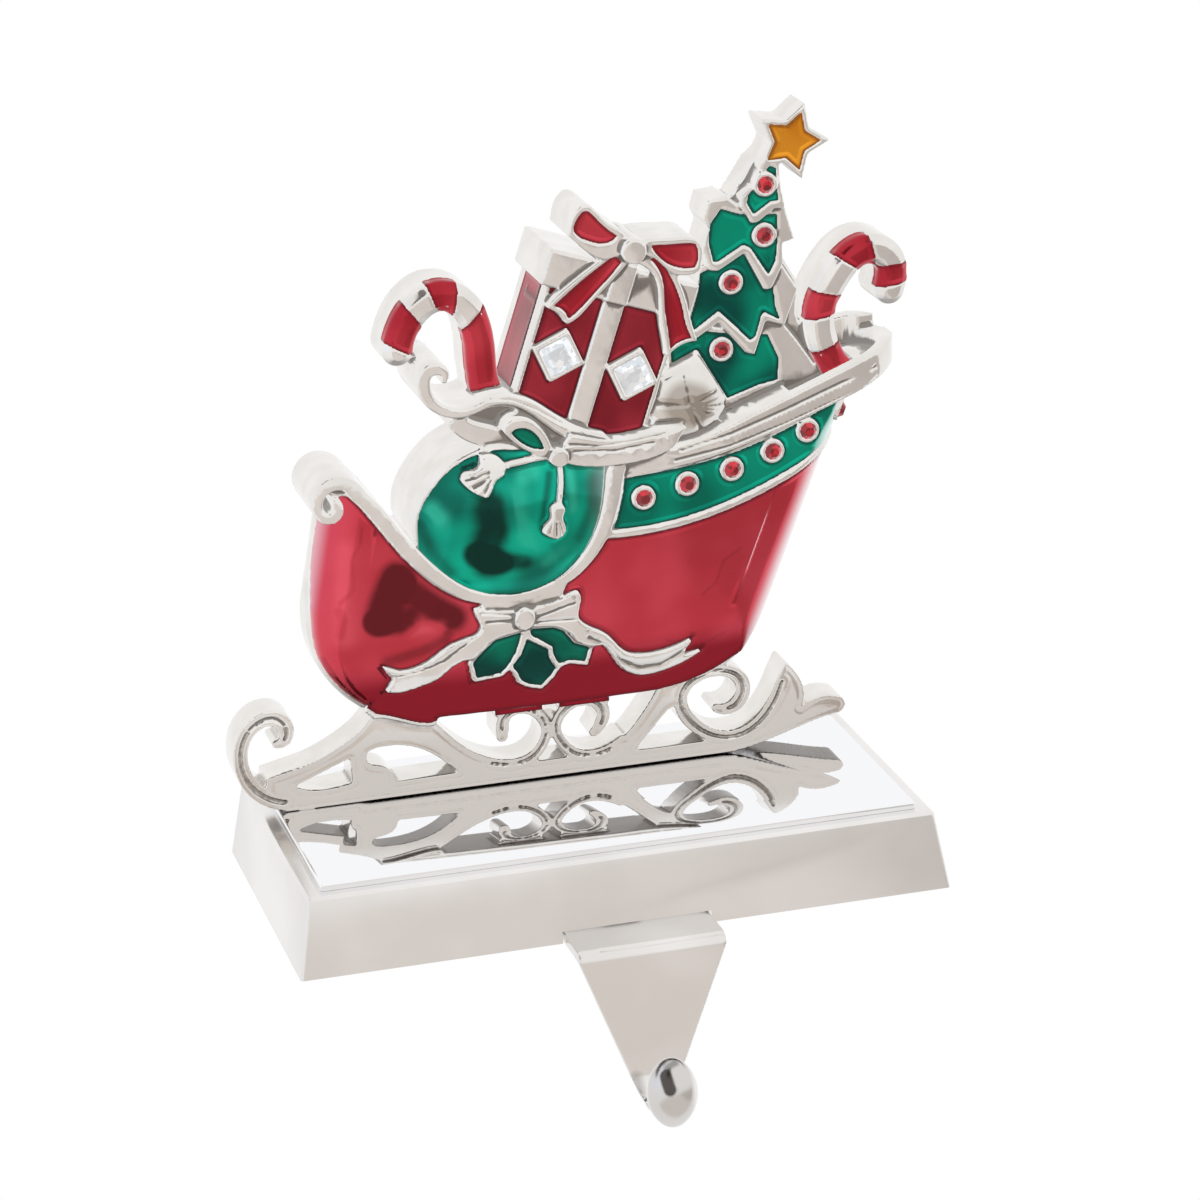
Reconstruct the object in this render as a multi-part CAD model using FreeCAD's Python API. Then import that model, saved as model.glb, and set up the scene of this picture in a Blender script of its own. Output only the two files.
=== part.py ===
"""Mantel stocking holder: a cast sleigh figure on a weighted base, with a hook below the front edge.

Frame: X runs to the right along the mantel, Y runs back to the wall and Z up.
The origin is on the mantel, under the middle of the base. All sizes are in millimetres.
The figure is drawn in front view as (x, z) points, with z counted from the mantel.
"""
import FreeCAD, Part
import math
import os

V = FreeCAD.Vector

# Base: a hollow stepped foot with sloping sides
base_length = 130.0
base_depth = 67.5
base_height = 15.6
base_side_slope = 2.6
base_front_slope = 2.2
base_wall = 2.0
base_edge_radius = 0.8
ledge_side = 3.0
ledge_front = 2.5
plate_height = 1.5
plate_edge_radius = 0.5

# Ballast, pad and screws under the base
pad_thickness = 2.2
pad_clearance = 0.6
ballast_length = 104.0
ballast_depth = 50.0
ballast_height = 9.2
ballast_edge = 1.0
figure_screw_x = (-39.0, 33.0)
figure_screw_radius = 2.0
figure_screw_head_radius = 3.8
figure_screw_head_height = 2.6
figure_screw_bite = 2.6
figure_screw_head_depth = 4.0
hook_screw_y = (-22.0, -12.0)
hook_screw_radius = 2.0
hook_screw_head_radius = 3.8
hook_screw_length = 8.0
screw_clearance = 0.1
boss_radius = 5.0

# Hook: one strip of plate, bent down over the mantel's edge and curled up at its tip
hook_centre_x = 1.1
hook_width = 29.2
hook_thickness = 2.0
hook_bend_radius = 0.3
hook_front_y = -44.3
hook_tab_back_y = -4.0
hook_lean_angle = 0.0
hook_drop = 23.7
hook_tip_width = 6.2
hook_taper_drop = 30.5
hook_curl_radius = 4.4
hook_curl_width = 5.4
hook_notch_clearance = 0.3
ball_radius = 4.9
ball_half_height = 7.0
ball_lift = -0.07

# Figure: planes that run through the casting, measured from its middle plane
figure_middle_y = 12.4
drawing_foot_z = 17.1
runner_thickness = 8.0
body_thickness = 20.0
tree_thickness = 9.0
star_thickness = 9.0
cane_thickness = 12.0
cane_width = 6.0
groove_depth = 0.6
groove_share = 0.30

# Relief on the body: heights above its crowned front
crown_front_y = 1.0
crown_centre = (0.0, 68.0)
crown_side_radius = 420.0
crown_height_radius = 130.0
round_end_centre = (-29.5, 54.8)
round_end_radius = 22.0
round_end_nose = 9.6
round_end_nose_y = 13.0
round_end_lean = 11.0
round_end_rise = 24.0
round_end_turn = 56.0
stern_centre = (24.5, 53.0)
stern_radius = 18.2
stern_lean = 22.0
stern_drop = 24.0
stern_rise = 60.0
rim_reach = 69.3
rim_wall = 3.0
rim_hollow_start = 46.0
back_rim_depth = 5.5
sack_front_y = -2.5
sack_centre = (-11.0, 74.0)
sack_radius = 34.0
rail_height = 1.2
hem_height = 1.0
bow_height = 1.9
leaf_height = 1.3
leaf_floor = 0.5
leaf_fill = 0.4
enamel_thickness = 0.5
wire_width = 0.6

# Stones and their settings
stone_radius = 1.75
stone_ring_radius = 2.35
stone_ring_height = 0.7
stone_rise = 0.9
stone_facets = 10
stone_table_share = 0.55
crystal_side = 6.0
crystal_bezel_side = 7.6
crystal_bezel_height = 1.9
crystal_rise = 0.5
crystal_table_share = 0.6

arc_tolerance = 0.04
front_reach = 40.0
plate_top_z = base_height + plate_height
runner_front_y = figure_middle_y - runner_thickness / 2
runner_back_y = figure_middle_y + runner_thickness / 2
body_front_y = figure_middle_y - body_thickness / 2
body_back_y = figure_middle_y + body_thickness / 2


def spot(point, y=0.0):
    """Place a point of the front-view drawing in space."""
    return V(point[0], y, point[1] - drawing_foot_z + plate_top_z)


def edges_through(points):
    """Line through two points, arc through three, and a chain of tangent arcs through more."""
    if len(points) == 2:
        return [Part.LineSegment(points[0], points[1]).toShape()]
    if len(points) == 3:
        return [Part.Arc(points[0], points[1], points[2]).toShape()]
    curve = Part.BSplineCurve()
    curve.interpolate(points)
    return [arc.toShape() for arc in curve.toBiArcs(arc_tolerance)]


def path(*strokes):
    """Wire made of strokes that join end to end."""
    return Part.Wire([edge for stroke in strokes for edge in edges_through(stroke)])


def outline(start, *strokes):
    """Closed wire in the drawing: each stroke goes on from where the last one ended."""
    edges = []
    last = start
    for stroke in strokes:
        edges.extend(edges_through([spot(point) for point in [last] + list(stroke)]))
        last = stroke[-1]
    if math.dist(last, start) > 1e-6:
        edges.extend(edges_through([spot(last), spot(start)]))
    return Part.Wire(edges)


def polygon(points):
    """Closed wire with straight sides."""
    return outline(points[0], *[[point] for point in points[1:]])


def oval(centre, half_width, half_height, turn=0.0):
    """Ellipse in the drawing, its long side turned by an angle in degrees."""
    wide = max(half_width, half_height)
    narrow = min(half_width, half_height)
    upright = 0.0 if half_width >= half_height else 90.0
    angle = math.radians(turn + upright)
    along = V(math.cos(angle), 0, math.sin(angle))
    across = V(-math.sin(angle), 0, math.cos(angle))
    middle = spot(centre)
    ellipse = Part.Ellipse(middle + along * wide, middle + across * narrow, middle)
    return Part.Wire([ellipse.toShape()])


def plate(wire, front, back):
    """Slab of the outline between two planes."""
    face = Part.Face(wire)
    face.translate(V(0, front, 0))
    slab = face.extrude(V(0, back - front, 0))
    return slab


def band(points, widths, share=1.0):
    """Closed wire of a ribbon that follows a smooth centre line, with a width at each point."""
    line = Part.BSplineCurve()
    line.interpolate([spot(point) for point in points])
    knots = [line.parameter(spot(point)) for point in points]
    left = []
    right = []
    for index, knot in enumerate(knots):
        stations = [(knot, widths[index])]
        if index + 1 < len(knots):
            stations.append(((knot + knots[index + 1]) / 2, (widths[index] + widths[index + 1]) / 2))
        for place, width in stations:
            along = line.tangent(place)[0]
            across = V(-along.z, 0, along.x) * (width * share / 2)
            middle = line.value(place)
            left.append(middle + across)
            right.append(middle - across)
    tip = line.value(knots[-1]) + line.tangent(knots[-1])[0] * (widths[-1] * share / 2)
    tail = line.value(knots[0]) - line.tangent(knots[0])[0] * (widths[0] * share / 2)
    right.reverse()
    sides = [left, [left[-1], tip, right[0]], right, [right[-1], tail, left[0]]]
    return path(*sides)


def crown(centre, front, side_radius, height_radius, lift=0.0):
    """Bulging block whose front stands at one depth at its centre and falls back all round."""
    reach = side_radius + lift
    rise = height_radius + lift
    half = min(rise * 0.98, 75.0)
    shoulder = reach - rise + math.sqrt(rise * rise - half * half)
    low = spot((centre[0], centre[1] - half))
    high = spot((centre[0], centre[1] + half))
    middle = spot(centre)
    profile = path(
        [low, low + V(shoulder, 0, 0)],
        [low + V(shoulder, 0, 0), middle + V(reach, 0, 0), high + V(shoulder, 0, 0)],
        [high + V(shoulder, 0, 0), high],
        [high, low],
    )
    block = Part.Face(profile).revolve(middle, V(0, 0, 1), 360)
    block.translate(V(0, front + side_radius, 0))
    return block


def body_crown(lift=0.0):
    """Crowned front of the sleigh, raised by a height."""
    return crown(crown_centre, crown_front_y, crown_side_radius, crown_height_radius, lift)


def sack_crown(lift=0.0):
    """Round front of the sack, raised by a height."""
    return crown(sack_centre, sack_front_y, sack_radius, sack_radius, lift)


def round_end(lift=0.0):
    """Waste outside the bull-nosed left end of the body, with its surface raised by a height."""
    radius = round_end_nose + lift
    middle = round_end_radius - round_end_nose
    far = round_end_radius + 12
    section = path(
        [V(-middle, round_end_nose_y - radius, 0), V(-middle - radius, round_end_nose_y, 0),
         V(-middle, round_end_nose_y + radius, 0)],
        [V(-middle, round_end_nose_y + radius, 0), V(-middle, front_reach, 0)],
        [V(-middle, front_reach, 0), V(-far, front_reach, 0)],
        [V(-far, front_reach, 0), V(-far, -front_reach, 0)],
        [V(-far, -front_reach, 0), V(-middle, -front_reach, 0)],
        [V(-middle, -front_reach, 0), V(-middle, round_end_nose_y - radius, 0)],
    )
    lean = math.radians(round_end_lean)
    face = Part.Face(section)
    face.rotate(V(0, 0, 0), V(0, 1, 0), round_end_lean)
    straight = face.extrude(V(math.sin(lean), 0, math.cos(lean)) * round_end_rise)
    curved = face.revolve(V(0, 0, 0), V(0, -1, 0), round_end_turn + round_end_lean)
    waste = straight.fuse(curved)
    waste.translate(spot(round_end_centre))
    return waste


def stern_axis():
    """Direction in which the body's right end leans."""
    lean = math.radians(stern_lean)
    return V(math.sin(lean), 0, math.cos(lean))


def stern(lift=0.0):
    """Waste outside the bull-nosed right end of the body, with its surface raised by a height."""
    radius = round_end_nose + lift
    middle = stern_radius - round_end_nose
    far = stern_radius + front_reach
    section = path(
        [V(middle, round_end_nose_y - radius, 0), V(middle + radius, round_end_nose_y, 0),
         V(middle, round_end_nose_y + radius, 0)],
        [V(middle, round_end_nose_y + radius, 0), V(middle, front_reach, 0)],
        [V(middle, front_reach, 0), V(far, front_reach, 0)],
        [V(far, front_reach, 0), V(far, -front_reach, 0)],
        [V(far, -front_reach, 0), V(middle, -front_reach, 0)],
        [V(middle, -front_reach, 0), V(middle, round_end_nose_y - radius, 0)],
    )
    face = Part.Face(section)
    face.rotate(V(0, 0, 0), V(0, 1, 0), stern_lean)
    waste = face.extrude(stern_axis() * (stern_drop + stern_rise))
    waste.translate(spot(stern_centre) - stern_axis() * stern_drop)
    return waste


def tub_front(lift=0.0):
    """Crowned front of the sleigh with its rounded ends, raised by a height."""
    return body_crown(lift).cut(round_end(lift)).cut(stern(lift))


def crowned(wire, front_block, back):
    """Slab of the outline whose front follows a crowned block."""
    return plate(wire, -front_reach, back).common(front_block)


def joined(solids):
    """One clean solid from many that meet."""
    whole = solids[0].multiFuse(solids[1:])
    return whole.removeSplitter()


def save(name, shape, smallest=0.0):
    """Write one node, without slivers under a volume."""
    solids = [solid for solid in shape.Solids if solid.Volume > smallest]
    shape = solids[0] if len(solids) == 1 else Part.makeCompound(solids)
    shape.exportStep(os.path.join("parts", name + ".step"))
    print(name, len(solids), "solids", round(shape.Volume, 1), "mm3", shape.isValid())


# Outlines of the runner
RUNNER_BANDS = [
    ([(-52, 18.7), (-58, 19.2), (-62.4, 21.2), (-65.4, 25), (-66.3, 29.5), (-65.2, 33.8), (-62.3, 36.6),
      (-59.1, 36.9), (-57.1, 34.8), (-57.4, 32.3), (-59.2, 31.5)],
     [3.2, 3.4, 3.3, 3.0, 2.9, 2.9, 3.0, 3.3, 3.3, 2.6, 1.4]),
    ([(-19, 22.9), (-16, 21.6), (-12.5, 20.9), (-8.5, 21.5), (-5.7, 23.9), (-4.6, 27.3), (-6.3, 30.8),
      (-9.8, 32.3), (-12.8, 31.2), (-13.6, 28.6), (-13.7, 27)],
     [2.2, 2.1, 2.1, 2.1, 2.1, 2.1, 2.1, 2.0, 2.4, 2.7, 2.3]),
    ([(11, 22.8), (8.5, 21.4), (4.8, 20.6), (1.2, 21.4), (-1.3, 23.8), (-2.6, 27.2), (-1.1, 30.6),
      (2.2, 32.3), (5.6, 31.8), (7.2, 29.4), (6.6, 27), (5.1, 25.3)],
     [2.2, 2.1, 2.1, 2.1, 2.1, 2.1, 2.1, 2.0, 2.5, 2.8, 2.6, 1.8]),
    ([(30.8, 27), (33.2, 26.7), (35.7, 28.2), (36.5, 31), (34.9, 33.8), (31, 35.1), (26.6, 34.2), (23.6, 31.2),
      (23.6, 28), (25.6, 24.6), (28.7, 22), (32.4, 20.6), (36.4, 20.9), (40.2, 23.2), (43.1, 27), (44.7, 30.8),
      (45.6, 33.9)],
     [1.8, 2.6, 3.1, 3.1, 2.8, 2.6, 2.6, 2.8, 2.8, 2.8, 2.6, 2.6, 2.8, 2.9, 2.8, 2.4, 1.4]),
]
LEFT_LEG = outline(
    (-61.6, 22.0),
    [(-61.5, 24.6)],
    [(-57, 25.6), (-52, 26.9), (-47, 29.2), (-43, 31.8), (-40.2, 34.8)],
    [(-36.6, 35.0)],
    [(-27.3, 34.2)],
    [(-27.2, 31.9)],
    [(-24.5, 28.9), (-20.8, 25.4), (-17, 23.0), (-12.5, 21.7)],
    [(-12.5, 18.0)],
    [(-60.0, 18.0)],
)
LEFT_WINDOW = outline(
    (-56.0, 22.3),
    [(-44.6, 26.7)],
    [(-44.4, 21.4)],
    [(-48, 20.9), (-52, 20.9), (-56.0, 22.3)],
)
ARCH_WINDOW = outline(
    (-41.1, 27.4),
    [(-38.5, 28.2), (-35, 28.1), (-31, 27), (-27, 24.5), (-22.9, 20.7)],
    [(-35.7, 20.5)],
    [(-36.4, 22.6), (-38.2, 24.1), (-40.4, 24.8), (-41.1, 27.4)],
)
RIGHT_LEG = outline(
    (7.5, 18.0),
    [(7.5, 22.0)],
    [(11, 23.4), (14.5, 27), (17.3, 30.8), (19.4, 34.6)],
    [(24.5, 35.4)],
    [(23.0, 29.2)],
    [(20.5, 28.0)],
    [(13.6, 20.5)],
    [(13.0, 18.0)],
)
LEAF_TAIL = outline(
    (45.7, 34.9),
    [(47.6, 32.6), (49, 29.8), (49.3, 27.2), (48.6, 24.9)],
    [(50.8, 26.1), (53.8, 26.7), (56.6, 26.2)],
    [(58.0, 24.6), (56.2, 22.6)],
    [(50.5, 21.4), (44.5, 19.6), (38.5, 18.0), (32.0, 17.1)],
    [(28.0, 17.1)],
    [(29.0, 20.6)],
    [(35, 21.0), (40, 23.4), (43.6, 28.2), (45.7, 34.9)],
)
FOOT_RAIL = polygon([(-58, 17.1), (32, 17.1), (32, 20.3), (-58, 20.3)])
JOINT_STRIPS = [
    polygon([(-15.0, 31.6), (-5.4, 31.6), (-5.4, 33.6), (-15.0, 33.6)]),
    polygon([(-1.8, 31.6), (8.4, 31.6), (8.4, 33.6), (-1.8, 33.6)]),
]
SPANDRELS = [
    polygon([(-9.5, 18), (4.0, 18), (4.0, 20.8), (-9.5, 20.8)]),
    polygon([(-15.0, 31.4), (-5.4, 31.4), (-5.4, 35.0), (-15.0, 35.0)]),
    polygon([(-1.8, 31.4), (8.4, 31.4), (8.4, 35.0), (-1.8, 35.0)]),
    polygon([(19.4, 33.0), (33.0, 36.0), (34.0, 42.0), (19.4, 37.0)]),
]

# Outlines of the sleigh's body
SWOOSH = [(9.6, 82.6), (8.2, 76), (6.1, 70), (3, 65.3), (-1, 61.7), (-6, 59.4), (-11, 58.4), (-16, 58.7),
          (-21, 60.1), (-26, 63.4), (-30.5, 67.9), (-34.5, 73), (-38.5, 78.7), (-42.3, 83)]
SWOOSH_WIDTHS = [3.0, 2.9, 2.7, 2.4, 2.1, 1.9, 1.8, 2.0, 2.4, 2.8, 3.0, 3.0, 3.0, 2.8]
VOLUTE = [(-41.2, 82), (-44, 84.6), (-46.9, 84.6), (-48.9, 82.5), (-49.2, 79.9), (-47.6, 78), (-45.8, 78.8),
          (-45.6, 81)]
VOLUTE_WIDTHS = [2.8, 2.5, 2.4, 2.3, 2.1, 2.0, 2.2, 1.8]
HEM = [(6.5, 69.2), (15, 69.1), (24, 70), (34.5, 72.5), (43, 75.4), (51.2, 78.9), (58.6, 82.6)]
HEM_WIDTHS = [1.5, 1.5, 1.5, 1.5, 1.4, 1.4, 1.4]
LIP = outline(
    (9.6, 81.2),
    [(16, 81), (24, 81.4), (32, 82.9), (40, 85.2), (48, 88.0), (54, 90.1), (59, 92.0), (64, 94.1), (71.5, 97.4)],
    [(71.5, 101.2)],
    [(66, 100.4), (60, 98.5), (54, 96.2), (47, 93.5), (40, 90.9), (33, 88.2), (27, 86.1), (20, 84.8), (9.6, 84.4)],
)
BACK_RIM = outline(
    (50.0, 90.0),
    [(50.0, 94.6)],
    [(53, 97.4), (57, 100.6), (61.5, 102.6), (66, 103.2), (71.5, 102.4)],
    [(71.5, 98.0)],
)
RIM_HOLLOW = outline(
    (44.0, 90.8),
    [(50, 92.6), (56, 94.8), (62, 96.8), (72, 99.0)],
    [(72.0, 112.0)],
    [(44.0, 112.0)],
)
TUB = outline(
    (-47.5, 84.0),
    [(-48.6, 76.6)],
    [(-50.2, 68), (-51.5, 57), (-50.6, 48.2), (-47.2, 42), (-43.2, 37.8), (-40.3, 35.6)],
    [(-40.0, 34.9)],
    [(-36.6, 34.4), (-32, 32.6), (-27.6, 31.9)],
    [(-27.0, 33.8)],
    [(18.0, 33.8)],
    [(25.4, 35.0), (32.2, 37.6), (37.2, 42.0), (41.2, 47.6), (44.6, 54.0)],
    [(62.6, 97.4)],
    [(56, 93.6), (48, 90.0), (40, 87.4), (32, 85.4), (24, 83.8), (9.6, 82.6)],
    SWOOSH[1:],
)
TUB_FILL = outline(
    (-46.6, 80.0),
    [(-48.0, 76.2)],
    [(-49.6, 67.9), (-50.8, 57), (-49.9, 48.5), (-46.5, 42.6), (-42.6, 38.6), (-39.8, 36.5)],
    [(-39.2, 35.8)],
    [(-36.4, 35.1), (-32, 33.3), (-28.2, 32.6)],
    [(-27.6, 33.0)],
    [(18.0, 33.0)],
    [(25.2, 35.1), (31.8, 37.9), (37.0, 41.2), (42.6, 47.0), (46.6, 54.0)],
    [(59.4, 82.4)],
    [(51.2, 78.6), (43, 75.4), (34.5, 72.5), (24, 70), (15, 69.1), (6.1, 69.2)],
    SWOOSH[3:],
)
BAND_FILL = outline(
    (11.0, 80.0),
    [(20, 80.5), (30, 81.5), (41, 84), (50, 87), (56.6, 89.5), (64, 92.4)],
    [(60.0, 83.8)],
    [(51.2, 79.6), (43, 76.1), (34.5, 73.2), (24, 70.7), (15, 69.8), (8.2, 70)],
    [(10.0, 75), (11.0, 80.0)],
)
SACK = outline(
    (-30.9, 72.0),
    [(-30, 78.5), (-27, 83.2), (-22.5, 87.3), (-17.5, 89.3), (-11, 89.3)],
    [(0, 89.0)],
    [(9.0, 84.0)],
    [(9.6, 82.6)],
    SWOOSH[1:10],
    [(-30.9, 72.0)],
)
SACK_FILL = outline(
    (-30.2, 72.2),
    [(-29.3, 78.2), (-26.4, 82.7), (-22.1, 86.6), (-17.3, 88.5), (-11, 88.6)],
    [(0, 88.0)],
    [(8.2, 83.6)],
    [(8.4, 80), (8.2, 76), (6.1, 70), (3, 65.3), (-1, 61.7), (-6, 59.4), (-11, 58.4), (-16, 58.7), (-21, 60.1),
     (-26, 63.4), (-30.2, 68.2)],
)

# Bow, ribbon and holly on the body
BOW_LEFT = outline(
    (-10.4, 55.9),
    [(-13, 55.9), (-16.5, 56.2), (-20.2, 57.2)],
    [(-18.8, 53.6)],
    [(-19, 52.4), (-22, 50.9), (-25, 49.9), (-28.5, 47.4), (-31.5, 45.9), (-35, 45.4)],
    [(-38.3, 46.8)],
    [(-36.2, 43.8)],
    [(-37.6, 41.2)],
    [(-35, 40.8), (-31, 41.8), (-27.5, 43), (-24.5, 45.5), (-21, 46.5)],
    [(-19.3, 47.6), (-16.8, 50.1), (-13, 51.2), (-10.4, 52.0)],
)
BOW_RIGHT = outline(
    (-10.4, 55.6),
    [(-7.5, 56.3), (-4, 56.9), (-1.3, 58.1), (0.7, 58.4)],
    [(0.9, 55.5), (0.6, 53.2), (2, 51.2), (5.5, 49), (8, 46.6), (10.2, 44), (14, 42.9), (19, 43.2), (24.2, 44.8)],
    [(22.2, 41.4)],
    [(26.4, 42.0)],
    [(22, 39.8), (17, 38.4), (12.5, 38.6), (9.6, 40.6), (7.6, 43.8), (5.6, 46.3)],
    [(3.6, 46.4), (1.2, 47.2), (-1, 49.6), (-3, 51.3), (-6, 52), (-10.4, 52.4)],
)
BOW_KNOT = oval((-10.4, 54.3), 1.9, 2.3)
LEAVES = {
    "left": polygon([(-16.4, 50.6), (-10.0, 51.9), (-10.0, 48.6), (-11.0, 45.9), (-12.6, 43.9), (-14.4, 41.9),
                     (-20.2, 41.2), (-21.2, 45.7), (-19.2, 48)]),
    "middle": polygon([(-10.6, 51.9), (-8.9, 49.7), (-6.3, 48.1), (-4.7, 47), (-4.4, 44.8), (-2.9, 42.2),
                       (-4.2, 40.2), (-6.5, 37.9), (-9.2, 38.6), (-11.2, 39.8), (-12.1, 41.8), (-13.4, 43.8),
                       (-11.8, 46.6), (-10.9, 49.6)]),
    "right": polygon([(-9.9, 52.3), (-4, 51.9), (-1.8, 50.8), (0.3, 47.9), (3.9, 46.3), (2.7, 42), (-1, 42.9),
                      (-3.4, 42.2), (-4.9, 44.8), (-5.2, 46.7), (-6.8, 47.9), (-9.4, 49.6)]),
}
SPRIG = outline(
    (-19.6, 57.2),
    [(-16.5, 58.0), (-11, 57.4), (-6, 58.2), (-1.6, 60.2)],
    [(-3.0, 56.6)],
    [(-8, 55.4)],
    [(-14, 55.2)],
)

# Mouth of the sack, its ribbons and its tassels
COLLAR = outline(
    (-23.6, 94.9),
    [(-21.3, 91.9), (-18, 90.0), (-13.5, 89.0), (-8.5, 87.6), (-4, 86.0)],
    [(1.0, 87.0)],
    [(-3.2, 92.5), (-7, 96.3), (-11.5, 98.4), (-16.5, 98.3), (-20.5, 96.8), (-23.6, 94.9)],
)
COLLAR_HOLLOW = outline(
    (-19.8, 95.7),
    [(-16, 97.0), (-11.5, 96.8), (-8.2, 95.4)],
    [(-12.0, 95.0), (-13.6, 92.8)],
    [(-15.5, 93.6), (-17.5, 94.3), (-19.8, 95.7)],
)
TOP_RIBBON = [(-24.0, 103.8), (-24.6, 106), (-26.8, 106), (-28, 103.2), (-26.8, 99.8), (-23.8, 97.5), (-19.8, 97),
              (-15, 98.5), (-10.5, 98.2), (-6, 95.7), (-2, 92.4), (2, 89.9), (6.5, 88)]
TOP_RIBBON_WIDTHS = [1.4, 2.3, 2.6, 2.6, 2.4, 2.1, 1.8, 1.6, 1.8, 2.2, 2.6, 3.0, 3.2]
SIDE_RIBBON = outline(
    (-3.0, 86.0),
    [(0.0, 90.6)],
    [(3, 89.8), (8, 88.5), (14, 88.7), (23.6, 89.5)],
    [(20.8, 85.8)],
    [(16, 84.0), (10, 83.4), (3, 83.8), (-3.0, 86.0)],
)
RIBBON_LOOP = outline(
    (-13.3, 93.0),
    [(-12, 94.8), (-9, 95), (-6.3, 93.2), (-4.4, 90.2), (-3.4, 87.2)],
    [(-7.8, 88.0), (-11, 90.2), (-13.3, 93.0)],
)
RIBBON_LOOP_FILL = outline(
    (-11.9, 92.4),
    [(-10.3, 93.3), (-8.2, 92.8), (-6.3, 90.9), (-5.2, 88.4)],
    [(-7.2, 88.7), (-10, 90.3), (-11.9, 92.4)],
)
SACK_KNOT = oval((-2.6, 86.6), 1.9, 1.7)
CORDS = [
    ([(-3, 86.6), (-6.5, 86.7), (-10.4, 86.4), (-14, 86)], [1.0, 1.0, 1.0, 1.0]),
    ([(-2.4, 86.2), (-2.2, 83.8), (-2.5, 80.4), (-3.3, 77)], [0.9, 0.9, 0.9, 0.9]),
    ([(-1.4, 86), (1.4, 85.2), (4, 84.2), (7.4, 83)], [0.7, 0.7, 0.7, 0.7]),
    ([(-1.4, 87), (2.5, 87.1), (5.6, 86.6), (8, 84.8)], [0.8, 0.8, 0.8, 0.8]),
]
TASSELS = [
    outline(
        (-17.9, 88.0),
        [(-16, 88.4), (-14, 87.7), (-13.5, 86), (-14.6, 84.4)],
        [(-15.9, 83.4), (-16.6, 82), (-17.6, 80.7)],
        [(-19.4, 81.5), (-21, 82.7), (-21.8, 83.7)],
        [(-20.8, 85.3), (-18.9, 85.8), (-18.1, 86.6), (-17.9, 88.0)],
    ),
    outline(
        (-4.7, 77.3),
        [(-3.6, 77.8), (-2.4, 77.2)],
        [(-2.5, 76), (-2.8, 75), (-2.4, 73.4), (-2.6, 71.8)],
        [(-4, 71), (-5.4, 71.4), (-6.7, 72.4)],
        [(-6, 74), (-5.1, 75), (-4.9, 76.1), (-4.7, 77.3)],
    ),
]
tassel_height = 2.4
cord_height = 1.3

# Gift box, turned in the plane of the figure about the middle of its lid's lower edge
gift_pivot = (10.65, 114.9)
gift_turn = -19.3
gift_half_width = 14.0
gift_drop = 27.0
gift_thickness = 18.0
lid_half_width = 15.5
lid_height = 7.2
lid_thickness = 20.0
gift_ribbon_half_width = 2.1
gift_ribbon_height = 0.7
gift_border = 0.8
gift_side_border = 3.2
CRYSTAL_CENTRES = [(-1.0, 105.7), (13.6, 100.3)]
crystal_turn = 23.0
GIFT_BOW = {
    "left": outline(
        (1.2, 129.6),
        [(1.7, 131.8), (2.6, 133.9), (4.8, 135.3), (7.3, 133.2), (9.6, 130.9), (12.4, 129), (13.3, 126.4)],
        [(11, 124.7), (7, 124.6), (4.5, 126.3), (1.2, 129.6)],
    ),
    "right": outline(
        (15.4, 127.2),
        [(19, 127.3), (23, 127), (26.2, 126.5), (27.8, 124)],
        [(27.2, 120.2)],
        [(24.3, 119.4), (21.4, 120.4), (19, 122.7), (15.4, 124.4)],
    ),
    "tail_left": outline(
        (11.0, 126.0),
        [(13.2, 123.2)],
        [(8.8, 118.8), (5.8, 116), (2.9, 113.3), (0.5, 112)],
        [(-0.6, 113.8), (-3.5, 115.8)],
        [(-0.6, 118.5), (3, 121), (7, 123.6), (11.0, 126.0)],
    ),
    "tail_right": outline(
        (15.0, 125.6),
        [(18.6, 124.9), (21.8, 121), (24.1, 115.5), (25.4, 109.8), (26.5, 106)],
        [(22.7, 105.3), (20.2, 103.3)],
        [(19.7, 107.5), (19.1, 113), (18.8, 118), (14.4, 122.8)],
    ),
}
GIFT_BOW_FILLS = {
    "left": outline(
        (2.3, 130.3),
        [(3, 132.6), (4.7, 134.1), (6.7, 132.5), (8.7, 130.4), (10.9, 128.7)],
        [(8.2, 127.3), (5, 128.2), (3.2, 129.2), (2.3, 130.3)],
    ),
    "right": outline(
        (17.4, 126.1),
        [(20, 126), (23, 125.9), (26.3, 125.6)],
        [(26.9, 123.2), (26.1, 120.8)],
        [(23.2, 121.0), (17.4, 126.1)],
    ),
    "tail_left": outline(
        (10.3, 124.8),
        [(11.8, 123.2)],
        [(8, 119.3), (5, 116.5), (2.3, 114.1), (0.7, 113)],
        [(0.1, 114.7), (-2.2, 115.9)],
        [(0.5, 118), (3.4, 120.2), (7, 122.6), (10.3, 124.8)],
    ),
    "tail_right": outline(
        (16.2, 124.2),
        [(18.6, 123.7), (20.8, 120.6), (23, 115.4), (24.2, 109.9), (25.4, 106.6)],
        [(22.6, 106.1), (20.8, 104.8)],
        [(20.6, 108), (20, 113), (19.8, 118.2), (16.2, 124.2)],
    ),
}
GIFT_KNOT = oval((13.9, 125.4), 2.4, 2.5)
gift_bow_front_y = 0.2
gift_bow_thickness = 13.0
PARCEL = polygon([(17.2, 91.5), (18.3, 98.4), (20, 97.9), (28.3, 101.3), (33.4, 92.4), (33.4, 90.4), (30, 86.6),
                  (22, 85.4), (18.3, 89.4)])
PARCEL_FOLDS = [
    polygon([(24.0, 99.5), (24.6, 99.6), (25.6, 92.6), (25.0, 92.4)]),
    polygon([(17.6, 92.6), (17.6, 93.3), (25.2, 92.9), (25.2, 92.4)]),
    polygon([(25.2, 92.9), (25.2, 92.4), (33.4, 90.6), (33.6, 91.6)]),
]
parcel_centre = (24.6, 92.6)
parcel_bulge_radius = 13.0
parcel_front_y = 2.8
parcel_back_y = 14.0
parcel_fold_depth = 0.5

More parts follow.
